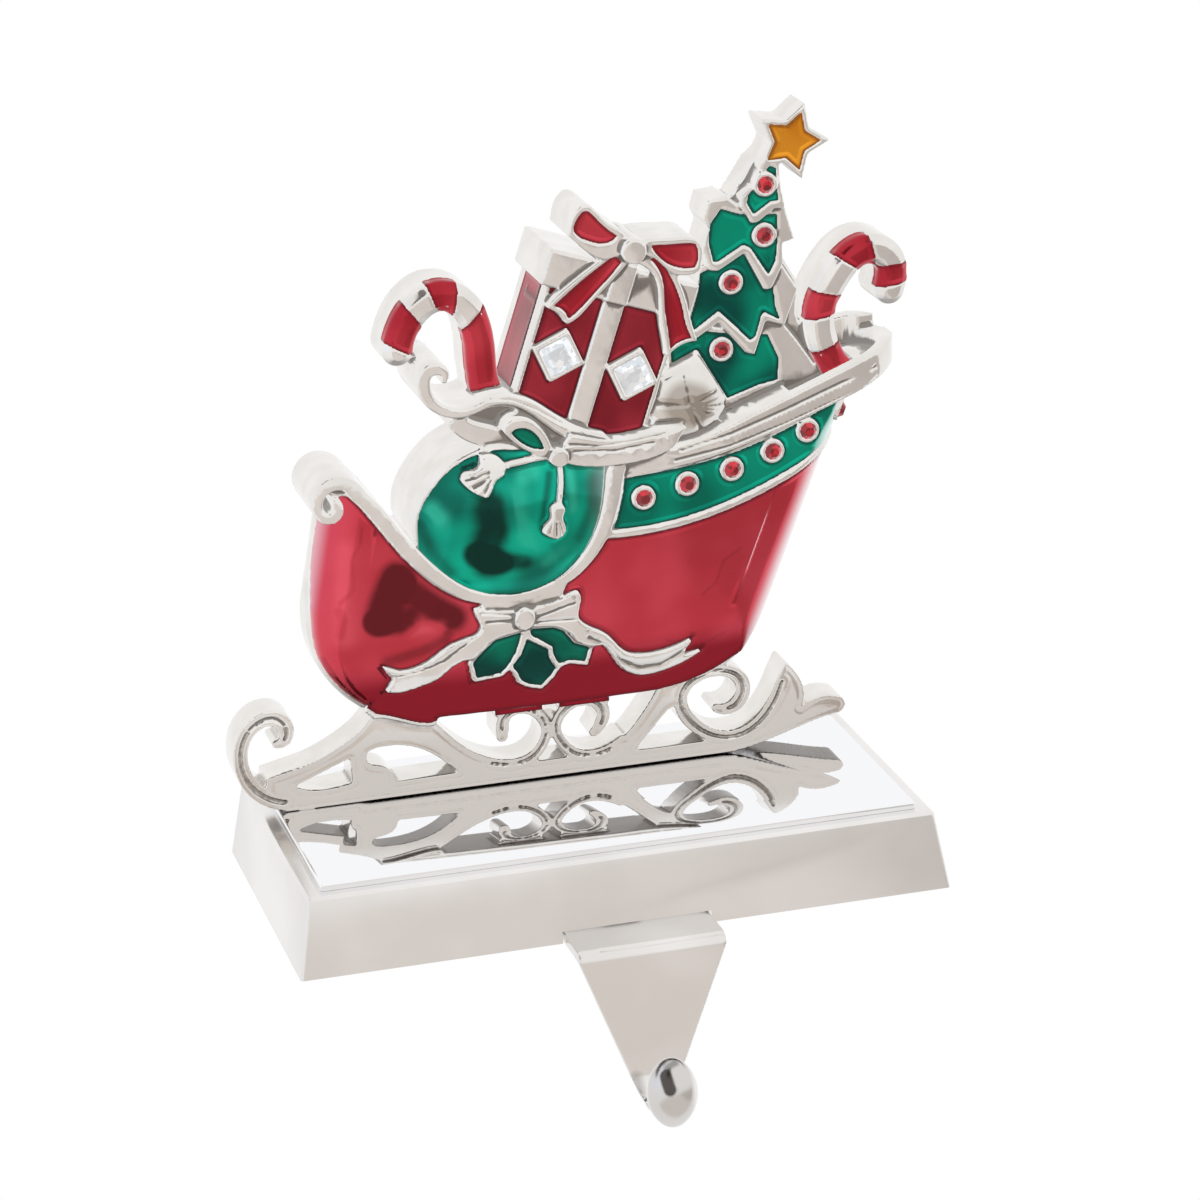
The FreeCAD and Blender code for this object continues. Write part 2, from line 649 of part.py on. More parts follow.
# Tree tiers from the lowest to the top, each with a snow-edged hem and an enamel field
tier_front_y = (8.8, 7.9, 7.0, 6.4)
tier_back_y = 17.0
TIERS = [
    polygon([(22.6, 98.8), (22.4, 104.8), (30, 106.4), (40, 104.4), (43.2, 108.2), (46.2, 105.6), (49.2, 101.6),
             (54, 94.4), (50, 90.4), (34, 87.6), (29.5, 90)]),
    polygon([(29.6, 119), (28.2, 114), (26.0, 107.6), (26.2, 104.4), (27.6, 103.9), (33, 107.2), (38.6, 100.4),
             (40.2, 99.9), (42.5, 106.6), (46.5, 105.2), (49.3, 112.4), (45.6, 118.4), (38, 122)]),
    polygon([(31.0, 131.9), (30, 128.6), (31, 126.6), (29.6, 122.4), (31.2, 118), (32.8, 117.7), (38.3, 120.8),
             (42.3, 112.9), (43.6, 113.2), (46, 117.8), (45.9, 122), (48.4, 122.6), (46.5, 129.3), (43, 131),
             (38.4, 129.4), (35, 132.3)]),
    polygon([(42.6, 139.4), (45.4, 139), (45.6, 133.5), (46.5, 129.3), (44.3, 129.4), (41, 126.8), (39.6, 126.7),
             (37.6, 130.4), (37.5, 132), (40, 134.4), (41.4, 137.5)]),
]
TIER_FILLS = [
    polygon([(23.4, 99.6), (28.6, 101.9), (34.6, 91.3), (41, 93.3), (45.2, 94), (45.4, 98.5), (43.2, 103.6),
             (40, 103.6), (30, 105.6), (23.2, 104.1)]),
    polygon([(29.4, 117.4), (28.9, 114), (27.2, 108.6), (27.8, 106), (33, 109.4), (39.3, 102.8), (40.5, 103.6),
             (42, 108.4), (45.7, 106.2), (44.7, 109), (44.2, 113.8), (42, 118), (38, 121)]),
    polygon([(33.6, 130.1), (31.4, 127.3), (30.9, 123.7), (31.8, 119.6), (32.8, 119.5), (38, 122.4), (39.4, 121.6),
             (43, 115.8), (44.6, 118.6), (45, 122), (45, 128), (40.2, 128), (37, 128.8)]),
    polygon([(43.3, 137.8), (44.8, 137.2), (44.9, 133), (45.3, 130.6), (43.4, 130.5), (40, 128.3), (38.6, 130.7),
             (38.9, 132.4), (41, 134.4)]),
]
TIER_STONES = [(33.6, 101.5), (35.6, 115.0), (42.2, 124.0), (42.4, 134.2)]
star_centre = (47.9, 142.1)
star_outer_radius = 7.9
star_inner_radius = 4.3
star_fill_outer_radius = 6.1
star_fill_inner_radius = 3.4
star_turn = -3.0
star_front_y = 6.2
tier_fill_depth = 0.5

# Candy canes
LEFT_CANE = [(-13.2, 96), (-14.8, 104.7), (-15.3, 110.5), (-17.0, 115.0), (-19.9, 117.7), (-23.4, 118.2),
             (-27.3, 116.0), (-30.1, 111.8), (-31.2, 108.4)]
RIGHT_CANE = [(57.6, 94.5), (54.9, 99.5), (53.7, 104), (54.2, 108.6), (56.7, 113.3), (60.2, 117.4),
              (64.6, 118.8), (68.1, 116.6), (68.8, 113), (68.2, 110.2)]
STRIPES = {
    "left": [
        polygon([(-26.8, 125), (-23.6, 116), (-19.9, 114), (-18.2, 125)]),
        polygon([(-31.8, 120.5), (-25.8, 112.6), (-27.5, 106.6), (-37, 112)]),
        polygon([(-20, 110), (-11, 119), (-7, 105), (-7, 93), (-20, 93)]),
    ],
    "right": [
        polygon([(50, 98.6), (61, 102.4), (64, 92), (50, 92)]),
        polygon([(47.5, 105.2), (60, 106.8), (60, 109.8), (47.5, 113)]),
        polygon([(54, 120), (61.9, 114.6), (65.4, 115.6), (63, 125.5), (56, 127)]),
        polygon([(64, 115.3), (74, 116), (74, 111.8), (64, 110.6)]),
    ],
}
stripe_thickness = 0.3
stripe_reach = 4.5
BAND_STONES = [(14.7, 75.7), (23.8, 77.3), (33.2, 79.0), (41.9, 81.4), (49.6, 84.4)]
end_stone_height = 90.2
end_stone_turn = 66.0

smallest_enamel = 0.3
collar_front_y = 1.4
collar_back_y = 19.0
collar_hollow_depth = 2.2
ribbon_front_y = 0.4
gift_front_y = 3.4
lid_overhang = 1.0
gift_tail_front_y = 0.8
gift_bow_back_y = 14.0
crystal_bezel_y = gift_front_y - crystal_bezel_height
crystal_seat_y = gift_front_y - 0.6
cane_front_y = figure_middle_y - cane_thickness / 2
cane_back_y = figure_middle_y + cane_thickness / 2
cane_edge = 1.5
TREE_CORE = polygon([(24, 100), (30, 112), (32.5, 122), (35.5, 130), (41, 138), (44.6, 140.8), (46.4, 138.5),
                     (46.6, 131), (47.8, 124), (46.6, 119), (50, 113), (49.4, 107), (51.2, 102), (54, 94.4), (46, 90),
                     (30, 88)])
DECK = polygon([(-6, 80), (16, 80), (40, 86), (56, 91), (60, 95), (54, 95), (30, 92), (10, 90), (-14, 92)])
deck_front_y = 12.0
deck_back_y = 20.4


def gift_spot(across, up):
    """Point in the drawing from a place on the turned gift box."""
    angle = math.radians(gift_turn)
    x = gift_pivot[0] + across * math.cos(angle) - up * math.sin(angle)
    z = gift_pivot[1] + across * math.sin(angle) + up * math.cos(angle)
    return (x, z)


def gift_box_outline(left, right, low, high):
    """Rectangle on the turned gift box."""
    return polygon([gift_spot(left, low), gift_spot(right, low), gift_spot(right, high), gift_spot(left, high)])


def square_outline(centre, side, turn):
    """Turned square in the drawing."""
    corners = []
    for quarter in range(4):
        angle = math.radians(turn + 45 + 90 * quarter)
        reach = side / math.sqrt(2)
        corners.append((centre[0] + reach * math.cos(angle), centre[1] + reach * math.sin(angle)))
    return polygon(corners)


def star_outline(outer, inner):
    """Five-pointed star in the drawing."""
    points = []
    for step in range(10):
        reach = outer if step % 2 == 0 else inner
        angle = math.radians(star_turn + 36 * step)
        points.append((star_centre[0] + reach * math.cos(angle), star_centre[1] + reach * math.sin(angle)))
    return polygon(points)


def frustum(length, depth, low_z, high_z, side_inset, front_inset):
    """Box whose four sides lean in towards the top."""
    def ring(half_x, half_y, z):
        corners = [V(-half_x, -half_y, z), V(half_x, -half_y, z), V(half_x, half_y, z), V(-half_x, half_y, z)]
        return Part.makePolygon(corners + corners[:1])
    low = ring(length / 2, depth / 2, low_z)
    high = ring(length / 2 - side_inset, depth / 2 - front_inset, high_z)
    return Part.makeLoft([low, high], True, True)


def rounded_above(solid, level, radius):
    """Round the edges that lie wholly above a level, or climb from the floor to it."""
    edges = [edge for edge in solid.Edges if edge.BoundBox.ZMax > level]
    return solid.makeFillet(radius, edges)


def upright(radius, x, y, low_z, high_z):
    """Round bar or hole along Z."""
    return Part.makeCylinder(radius, high_z - low_z, V(x, y, low_z), V(0, 0, 1))


# Heights and depths of the foot that follow from its sizes
ballast_low_z = pad_thickness
ballast_high_z = ballast_low_z + ballast_height
ceiling_z = base_height - base_wall
inner_length = base_length - 2 * base_wall
inner_depth = base_depth - 2 * base_wall
figure_head_low_z = ballast_low_z + figure_screw_head_depth - figure_screw_head_height
figure_head_high_z = ballast_low_z + figure_screw_head_depth


def make_base_shell():
    """Hollow foot with two screw bosses and a notch for the hook's tab."""
    outer = frustum(base_length, base_depth, 0, base_height, base_side_slope, base_front_slope)
    outer = rounded_above(outer, base_height * 0.5, base_edge_radius)
    hollow = frustum(inner_length, inner_depth, 0, ceiling_z, base_side_slope, base_front_slope)
    shell = outer.cut(hollow)
    for x in figure_screw_x:
        shell = shell.fuse(upright(boss_radius, x, figure_middle_y, ballast_high_z, ceiling_z))
        hole = upright(figure_screw_radius + screw_clearance, x, figure_middle_y, ballast_high_z, base_height)
        shell = shell.cut(hole)
    notch_width = hook_width + 2 * hook_notch_clearance
    notch = Part.makeBox(notch_width, base_depth / 2, hook_thickness + hook_notch_clearance)
    notch.translate(V(hook_centre_x - notch_width / 2, -base_depth / 2 - base_wall, 0))
    return shell.cut(notch).removeSplitter()


def make_mirror_plate():
    """Polished step on which the figure stands."""
    length = base_length - 2 * base_side_slope - 2 * ledge_side
    depth = base_depth - 2 * base_front_slope - 2 * ledge_front
    step = Part.makeBox(length, depth, plate_height, V(-length / 2, -depth / 2, base_height))
    edges = [edge for edge in step.Edges if edge.BoundBox.ZMax > base_height + plate_height / 2]
    step = step.makeFillet(plate_edge_radius, edges)
    for x in figure_screw_x:
        step = step.cut(upright(figure_screw_radius + screw_clearance, x, figure_middle_y, 0, plate_top_z))
    return step


def make_ballast():
    """Weight inside the foot, bored for both pairs of screws."""
    block = Part.makeBox(ballast_length, ballast_depth, ballast_height,
                         V(-ballast_length / 2, -ballast_depth / 2, ballast_low_z))
    block = block.makeChamfer(ballast_edge, block.Edges)
    for x in figure_screw_x:
        bore = upright(figure_screw_radius + screw_clearance, x, figure_middle_y, 0, ballast_high_z)
        seat = upright(figure_screw_head_radius + screw_clearance, x, figure_middle_y, 0, figure_head_high_z)
        block = block.cut(bore).cut(seat)
    for y in hook_screw_y:
        block = block.cut(upright(hook_screw_radius, hook_centre_x, y, 0, hook_screw_length))
    return block


def make_foot_pad():
    """Soft pad flush with the foot's rim, cut out round the hook's tab."""
    slope = base_side_slope / base_height * pad_thickness
    length = inner_length - 2 * pad_clearance - 2 * slope
    depth = inner_depth - 2 * pad_clearance - 2 * slope
    pad = Part.makeBox(length, depth, pad_thickness, V(-length / 2, -depth / 2, 0))
    channel_width = hook_width + 2 * pad_clearance
    channel = Part.makeBox(channel_width, depth, pad_thickness)
    channel.translate(V(hook_centre_x - channel_width / 2, hook_tab_back_y + pad_clearance - depth, 0))
    return pad.cut(channel)


def make_figure_screws():
    """Two screws that clamp ballast, foot, plate and figure together."""
    screws = []
    for x in figure_screw_x:
        shank = upright(figure_screw_radius, x, figure_middle_y, figure_head_high_z,
                        plate_top_z + figure_screw_bite)
        head = upright(figure_screw_head_radius, x, figure_middle_y, figure_head_low_z, figure_head_high_z)
        socket = upright(figure_screw_radius * 0.6, x, figure_middle_y, figure_head_low_z,
                         figure_head_low_z + figure_screw_head_height * 0.5)
        screws.append(head.fuse(shank).removeSplitter().cut(socket))
    return Part.makeCompound(screws)


def make_hook_screws():
    """Two countersunk screws that fix the hook's tab to the ballast."""
    screws = []
    for y in hook_screw_y:
        head = Part.makeCone(hook_screw_head_radius, hook_screw_radius, hook_thickness,
                             V(hook_centre_x, y, 0), V(0, 0, 1))
        shank = upright(hook_screw_radius, hook_centre_x, y, hook_thickness, hook_screw_length)
        slot = Part.makeBox(hook_screw_head_radius * 3, 1.0, 0.7, V(-hook_screw_head_radius * 1.5, -0.5, 0))
        slot.translate(V(hook_centre_x, y, 0))
        screws.append(head.fuse(shank).removeSplitter().cut(slot))
    return Part.makeCompound(screws)


def egg(radius, half_height):
    """Oval ball about Z: round caps joined by one long side arc."""
    cap = radius * radius / half_height
    cap_z = half_height - cap
    side = (radius * radius + cap_z * cap_z - cap * cap) / (2 * (radius - cap))
    reach = math.hypot(side - radius, cap_z)
    lean = V((side - radius) / reach, 0, cap_z / reach)
    half_lean = V(lean.x, 0, lean.z + 1).normalize()
    joint = V(0, 0, cap_z) + lean * cap
    shoulder = V(0, 0, cap_z) + half_lean * cap
    top = V(0, 0, half_height)
    profile = path(
        [top, shoulder, joint],
        [joint, V(radius, 0, 0), V(joint.x, 0, -joint.z)],
        [V(joint.x, 0, -joint.z), V(shoulder.x, 0, -shoulder.z), V(0, 0, -half_height)],
        [V(0, 0, -half_height), top],
    )
    return Part.Face(profile).revolve(V(0, 0, 0), V(0, 0, 1), 360)


def make_hook():
    """Bent and curled strip with its oval end."""
    lean = math.radians(hook_lean_angle)
    inner = hook_bend_radius
    outer = hook_bend_radius + hook_thickness
    bend_centre = V(0, hook_front_y + outer, hook_thickness - outer)
    out_front = V(0, -math.cos(lean), math.sin(lean))
    down = V(0, -math.sin(lean), -math.cos(lean))
    turn_middle = V(0, -math.sin(math.radians(45) - lean / 2), math.cos(math.radians(45) - lean / 2))
    top_out = bend_centre + V(0, 0, outer)
    top_in = bend_centre + V(0, 0, inner)
    side_out = bend_centre + out_front * outer
    side_in = bend_centre + out_front * inner
    low_out = side_out + down * hook_drop
    low_in = side_in + down * hook_drop
    curl_in = hook_curl_radius
    curl_out = hook_curl_radius + hook_thickness
    curl_centre = low_out + out_front * curl_in
    bottom = V(0, 0, -1)
    front = V(0, -1, 0)
    diagonal_back = (down + out_front * -1) * (1 / math.sqrt(2))
    diagonal_front = V(0, -math.sqrt(0.5), -math.sqrt(0.5))

    back_profile = path(
        [V(0, hook_tab_back_y, 0), V(0, hook_tab_back_y, hook_thickness)],
        [V(0, hook_tab_back_y, hook_thickness), top_out],
        [top_out, bend_centre + turn_middle * outer, side_out],
        [side_out, low_out],
        [low_out, curl_centre + diagonal_back * curl_in, curl_centre + bottom * curl_in],
        [curl_centre + bottom * curl_in, curl_centre + bottom * curl_out],
        [curl_centre + bottom * curl_out, curl_centre + diagonal_back * curl_out, low_in],
        [low_in, side_in],
        [side_in, bend_centre + turn_middle * inner, top_in],
        [top_in, V(0, hook_tab_back_y, 0)],
    )
    back_part = Part.Face(back_profile).extrude(V(hook_width, 0, 0))
    back_part.translate(V(hook_centre_x - hook_width / 2, 0, 0))
    taper_low_z = -hook_taper_drop
    slope = (hook_width - hook_tip_width) / 2 / hook_taper_drop
    low_z = (curl_centre + bottom * curl_out).z - 1
    low_half = hook_tip_width / 2 - slope * (taper_low_z - low_z)
    half = hook_width / 2
    face_points = [V(-half, 0, hook_thickness), V(half, 0, hook_thickness), V(half, 0, 0),
                   V(low_half, 0, low_z), V(-low_half, 0, low_z), V(-half, 0, 0)]
    face_view = Part.Face(Part.makePolygon(face_points + face_points[:1]))
    mask = face_view.extrude(V(0, front_reach * 2, 0))
    mask.translate(V(hook_centre_x, -front_reach * 2 + hook_tab_back_y, 0))
    back_part = back_part.common(mask)

    front_profile = path(
        [curl_centre + bottom * curl_in, curl_centre + diagonal_front * curl_in, curl_centre + front * curl_in],
        [curl_centre + front * curl_in, curl_centre + front * curl_out],
        [curl_centre + front * curl_out, curl_centre + diagonal_front * curl_out, curl_centre + bottom * curl_out],
        [curl_centre + bottom * curl_out, curl_centre + bottom * curl_in],
    )
    front_part = Part.Face(front_profile).extrude(V(hook_curl_width, 0, 0))
    front_part.translate(V(hook_centre_x - hook_curl_width / 2, 0, 0))

    ball = egg(ball_radius, ball_half_height)
    ball_y = curl_centre.y - hook_curl_radius - hook_thickness / 2
    ball.translate(V(hook_centre_x, ball_y, curl_centre.z + ball_half_height * ball_lift))
    hook = back_part.multiFuse([front_part, ball]).removeSplitter()
    for y in hook_screw_y:
        hook = hook.cut(Part.makeCone(hook_screw_head_radius, hook_screw_radius, hook_thickness,
                                      V(hook_centre_x, y, 0), V(0, 0, 1)))
    return hook


def make_runner():
    """Pierced runner: foot rail, legs, scrolls and leaf."""
    solids = [plate(wire, runner_front_y, runner_back_y) for wire in [FOOT_RAIL, RIGHT_LEG, LEAF_TAIL] + SPANDRELS]
    leg = plate(LEFT_LEG, runner_front_y, runner_back_y)
    for wire in [LEFT_WINDOW, ARCH_WINDOW]:
        leg = leg.cut(plate(wire, runner_front_y - 1, runner_back_y + 1))
    solids.append(leg)
    for points, widths in RUNNER_BANDS:
        solids.append(plate(band(points, widths), runner_front_y, runner_back_y))
    runner = joined(solids)
    for points, widths in RUNNER_BANDS:
        groove = plate(band(points[1:-1], widths[1:-1], groove_share), runner_front_y - 1,
                       runner_front_y + groove_depth)
        runner = runner.cut(groove)
    return runner


def make_tub():
    """Crowned body with its rim, rails and lip."""
    solids = [crowned(TUB, tub_front(), body_back_y)]
    rim = plate(TUB, -front_reach, body_back_y)
    for wire in [TUB_FILL, BAND_FILL]:
        rim = rim.cut(plate(wire, -front_reach, body_back_y + 1))
    solids.append(rim.common(tub_front(enamel_thickness)))
    solids.append(crowned(band(SWOOSH, SWOOSH_WIDTHS), body_crown(rail_height), body_back_y))
    solids.append(crowned(band(VOLUTE, VOLUTE_WIDTHS), body_crown(rail_height), body_back_y))
    solids.append(crowned(band(HEM, HEM_WIDTHS), tub_front(hem_height), body_back_y))
    return solids


def rim_plan(start, inset):
    """Upright block whose plan is the rim's: straight sides and a half-round right end."""
    front = body_front_y - rail_height + inset
    back = body_back_y - inset
    radius = (back - front) / 2
    turn = rim_reach - inset - radius
    plan = path(
        [V(start, front, 0), V(turn, front, 0)],
        [V(turn, front, 0), V(turn + radius, front + radius, 0), V(turn, back, 0)],
        [V(turn, back, 0), V(start, back, 0)],
        [V(start, back, 0), V(start, front, 0)],
    )
    return Part.Face(plan).extrude(V(0, 0, front_reach * 4))


def make_rim():
    """Rim that runs round the right end, its higher back, and the deck that gift, tree and canes stand on."""
    front = body_front_y - rail_height
    rim = plate(LIP, front, body_back_y).fuse(plate(BACK_RIM, body_back_y - back_rim_depth, body_back_y))
    rim = rim.common(rim_plan(-base_length / 2, 0.0))
    rim = rim.fuse(plate(DECK, deck_front_y, deck_back_y))
    return rim.cut(plate(RIM_HOLLOW, front, body_back_y).common(rim_plan(rim_hollow_start, rim_wall)))


def leaf_floor_wire(points_wire):
    """Outline of a leaf's enamel, one wire's width inside its edge."""
    return points_wire.makeOffset2D(-wire_width)


def make_bow():
    """Bow, knot and holly in relief on the body."""
    solids = [
        crowned(BOW_LEFT, body_crown(bow_height), figure_middle_y),
        crowned(BOW_RIGHT, body_crown(bow_height), figure_middle_y),
        crowned(BOW_KNOT, body_crown(bow_height + 1.0), figure_middle_y),
        crowned(SPRIG, body_crown(leaf_height), figure_middle_y),
    ]
    for wire in LEAVES.values():
        leaf = crowned(wire, body_crown(leaf_height), figure_middle_y)
        field = plate(leaf_floor_wire(wire), -front_reach, figure_middle_y)
        solids.append(leaf.cut(field.cut(body_crown(leaf_floor))))
    return solids


def make_sack():
    """Round sack with its gathered mouth, ribbons, cords and tassels."""
    solids = [crowned(SACK, sack_crown(), body_back_y)]
    rim = plate(SACK, -front_reach, body_back_y).cut(plate(SACK_FILL, -front_reach, body_back_y + 1))
    solids.append(rim.common(sack_crown(enamel_thickness)))
    collar = plate(COLLAR, collar_front_y, collar_back_y)
    hollow = plate(COLLAR_HOLLOW, collar_front_y - 1, collar_front_y + collar_hollow_depth)
    solids.append(collar.cut(hollow))
    solids.append(plate(band(TOP_RIBBON, TOP_RIBBON_WIDTHS), ribbon_front_y, collar_back_y))
    solids.append(plate(SIDE_RIBBON, ribbon_front_y - 1.2, collar_back_y))
    loop_body = plate(RIBBON_LOOP, ribbon_front_y - 1.5, collar_back_y)
    loop_cut = plate(RIBBON_LOOP_FILL, -front_reach, ribbon_front_y - 1.5 + enamel_thickness)
    solids.append(loop_body.cut(loop_cut))
    solids.append(plate(SACK_KNOT, ribbon_front_y - 2.8, collar_back_y))
    for points, widths in CORDS:
        solids.append(crowned(band(points, widths), sack_crown(cord_height), figure_middle_y))
    for wire in TASSELS:
        solids.append(crowned(wire, sack_crown(tassel_height), figure_middle_y))
    return solids


def gift_panel_wires():
    """Enamel fields on the front of the gift box, one on each side of its ribbon."""
    inner = gift_ribbon_half_width
    outer = gift_half_width - gift_border
    low = gift_border - gift_drop
    return [gift_box_outline(-outer, -inner, low, 0.0), gift_box_outline(inner, outer, low, 0.0)]


def turned_box(across_low, across_high, front, back, up_low, up_high):
    """Block aligned with the turned gift box."""
    return plate(gift_box_outline(across_low, across_high, up_low, up_high), front, back)


def gift_side_fill():
    """Enamel field on the left side wall of the gift box."""
    left = -gift_half_width
    front = gift_front_y + gift_side_border
    back = gift_front_y + gift_thickness - gift_side_border
    return turned_box(left, left + enamel_thickness, front, back, gift_border - gift_drop, 0.0)


def make_gift():
    """Gift box with lid, flat ribbons, bow, and the bezels of its two crystals."""
    back = gift_front_y + gift_thickness
    box = turned_box(-gift_half_width, gift_half_width, gift_front_y, back, -gift_drop, 0.1)
    for wire in gift_panel_wires():
        box = box.cut(plate(wire, gift_front_y - 1, gift_front_y + enamel_thickness))
    box = box.cut(gift_side_fill())
    for centre in CRYSTAL_CENTRES:
        bezel = plate(square_outline(centre, crystal_bezel_side, crystal_turn), crystal_bezel_y, gift_front_y + 1)
        seat = plate(square_outline(centre, crystal_side, crystal_turn), crystal_bezel_y - 1, crystal_seat_y)
        box = box.fuse(bezel).cut(seat)
    lid_front = gift_front_y - lid_overhang
    lid = turned_box(-lid_half_width, lid_half_width, lid_front, back + lid_overhang, 0.0, lid_height)
    half = gift_ribbon_half_width
    solids = [
        box,
        lid,
        turned_box(-half, half, gift_front_y - gift_ribbon_height, gift_front_y + 1, -gift_drop, 0.1),
        turned_box(-half, half, lid_front - gift_ribbon_height, back, 0.0, lid_height + gift_ribbon_height),
    ]
    for name in GIFT_BOW:
        front = gift_bow_front_y if name in ("left", "right") else gift_tail_front_y
        piece = plate(GIFT_BOW[name], front, gift_bow_back_y)
        solids.append(piece.cut(plate(GIFT_BOW_FILLS[name], front - 1, front + enamel_thickness)))
    solids.append(plate(GIFT_KNOT, gift_bow_front_y - 1.0, gift_bow_back_y))
    parcel = crowned(PARCEL, crown(parcel_centre, parcel_front_y, parcel_bulge_radius, parcel_bulge_radius),
                     parcel_back_y)
    inner = crown(parcel_centre, parcel_front_y, parcel_bulge_radius, parcel_bulge_radius, -parcel_fold_depth)
    for wire in PARCEL_FOLDS:
        parcel = parcel.cut(plate(wire, -front_reach, parcel_back_y).cut(inner))
    solids.append(parcel)
    return solids


def make_tree():
    """Four tiers of the tree, each standing a little behind the one below, and the star on top."""
    solids = []
    for tier, fill, front in zip(TIERS, TIER_FILLS, tier_front_y):
        slab = plate(tier, front, tier_back_y)
        solids.append(slab.cut(plate(fill, front - 1, front + tier_fill_depth)))
    solids.append(plate(TREE_CORE, tier_front_y[0] + 1.5, tier_back_y))
    star = plate(star_outline(star_outer_radius, star_inner_radius), star_front_y, star_front_y + star_thickness)
    field = star_outline(star_fill_outer_radius, star_fill_inner_radius)
    solids.append(star.cut(plate(field, star_front_y - 1, star_front_y + tier_fill_depth)))
    return solids


def cane_body(points, inset):
    """Cane with rounded front edges, made smaller all round by an inset."""
    widths = [cane_width - 2 * inset] * len(points)
    slab = plate(band(points, widths), cane_front_y + inset, cane_back_y)
    edges = [edge for edge in slab.Edges if edge.BoundBox.YMax < cane_front_y + inset + 0.01]
    return slab.makeChamfer(cane_edge - inset, edges)


def cane_and_stripes(points, stripe_wires):
    """The cast cane, bare where its enamel lies, and the enamel stripes that wrap round it."""
    whole = cane_body(points, 0.0)
    core = cane_body(points, stripe_thickness)
    stripes = []
    cast = whole
    for wire in stripe_wires:
        cell = plate(wire, cane_front_y - 1, cane_front_y + stripe_reach)
        stripe = whole.common(cell).cut(core)
        cast = cast.cut(stripe)
        stripes.append(stripe)
    return cast, Part.makeCompound(stripes)


def facet_ring(centre, radius):
    """Regular polygon of a round stone's facets."""
    turns = [2 * math.pi * step / stone_facets for step in range(stone_facets)]
    return polygon([(centre[0] + radius * math.cos(turn), centre[1] + radius * math.sin(turn)) for turn in turns])


def ring_and_stone(centre, front_y):
    """Collar for a round stone on a surface at a given depth, and the stone in it."""
    middle = spot(centre)
    top = front_y - stone_ring_height
    ring = Part.makeCylinder(stone_ring_radius, stone_ring_height + 1.5, V(middle.x, top, middle.z), V(0, 1, 0))
    hole = Part.makeCylinder(stone_radius, stone_ring_height - 0.1 + 1, V(middle.x, top - 1, middle.z), V(0, 1, 0))
    seat_y = front_y - 0.1
    girdle_y = seat_y - stone_ring_height + 0.2
    wide = facet_ring(centre, stone_radius)
    table = facet_ring(centre, stone_radius * stone_table_share)
    girdle = plate(wide, girdle_y, seat_y)
    wide.translate(V(0, girdle_y, 0))
    table.translate(V(0, girdle_y - stone_rise, 0))
    stone = girdle.fuse(Part.makeLoft([wide, table], True, True)).removeSplitter()
    return ring.cut(hole), hole, stone


def wrapped(shape):
    """Carry a shape from the front of the stern's bull nose round to its side."""
    turned = shape.copy()
    turned.rotate(stern_nose_point(), stern_axis(), end_stone_turn)
    return turned


def stern_nose_drawing(height):
    """Place in the drawing of the bull nose's centre line at a height."""
    lean = math.radians(stern_lean)
    middle = stern_radius - round_end_nose
    across = stern_centre[0] + middle * math.cos(lean)
    low = stern_centre[1] - middle * math.sin(lean)
    return (across + (height - low) * math.tan(lean), height)


def stern_nose_point():
    """Point on the bull nose's centre line behind the last stone of the band."""
    return spot(stern_nose_drawing(end_stone_height), round_end_nose_y)


def crown_depth(centre, lift):
    """Depth of the body's crowned front at a point of the drawing."""
    across = centre[0] - crown_centre[0]
    up = centre[1] - crown_centre[1]
    rise = crown_height_radius + lift
    reach = crown_side_radius + lift - rise + math.sqrt(rise * rise - up * up)
    return crown_front_y + crown_side_radius - math.sqrt(reach * reach - across * across)


def make_crystals():
    """Two square stones with bevelled tables."""
    stones = []
    for centre in CRYSTAL_CENTRES:
        low = square_outline(centre, crystal_side, crystal_turn)
        high = square_outline(centre, crystal_side * crystal_table_share, crystal_turn)
        girdle_y = crystal_bezel_y + 0.2
        base = plate(low, girdle_y, crystal_seat_y)
        low.translate(V(0, girdle_y, 0))
        high.translate(V(0, crystal_bezel_y - crystal_rise, 0))
        stones.append(base.fuse(Part.makeLoft([low, high], True, True)).removeSplitter())
    return Part.makeCompound(stones)


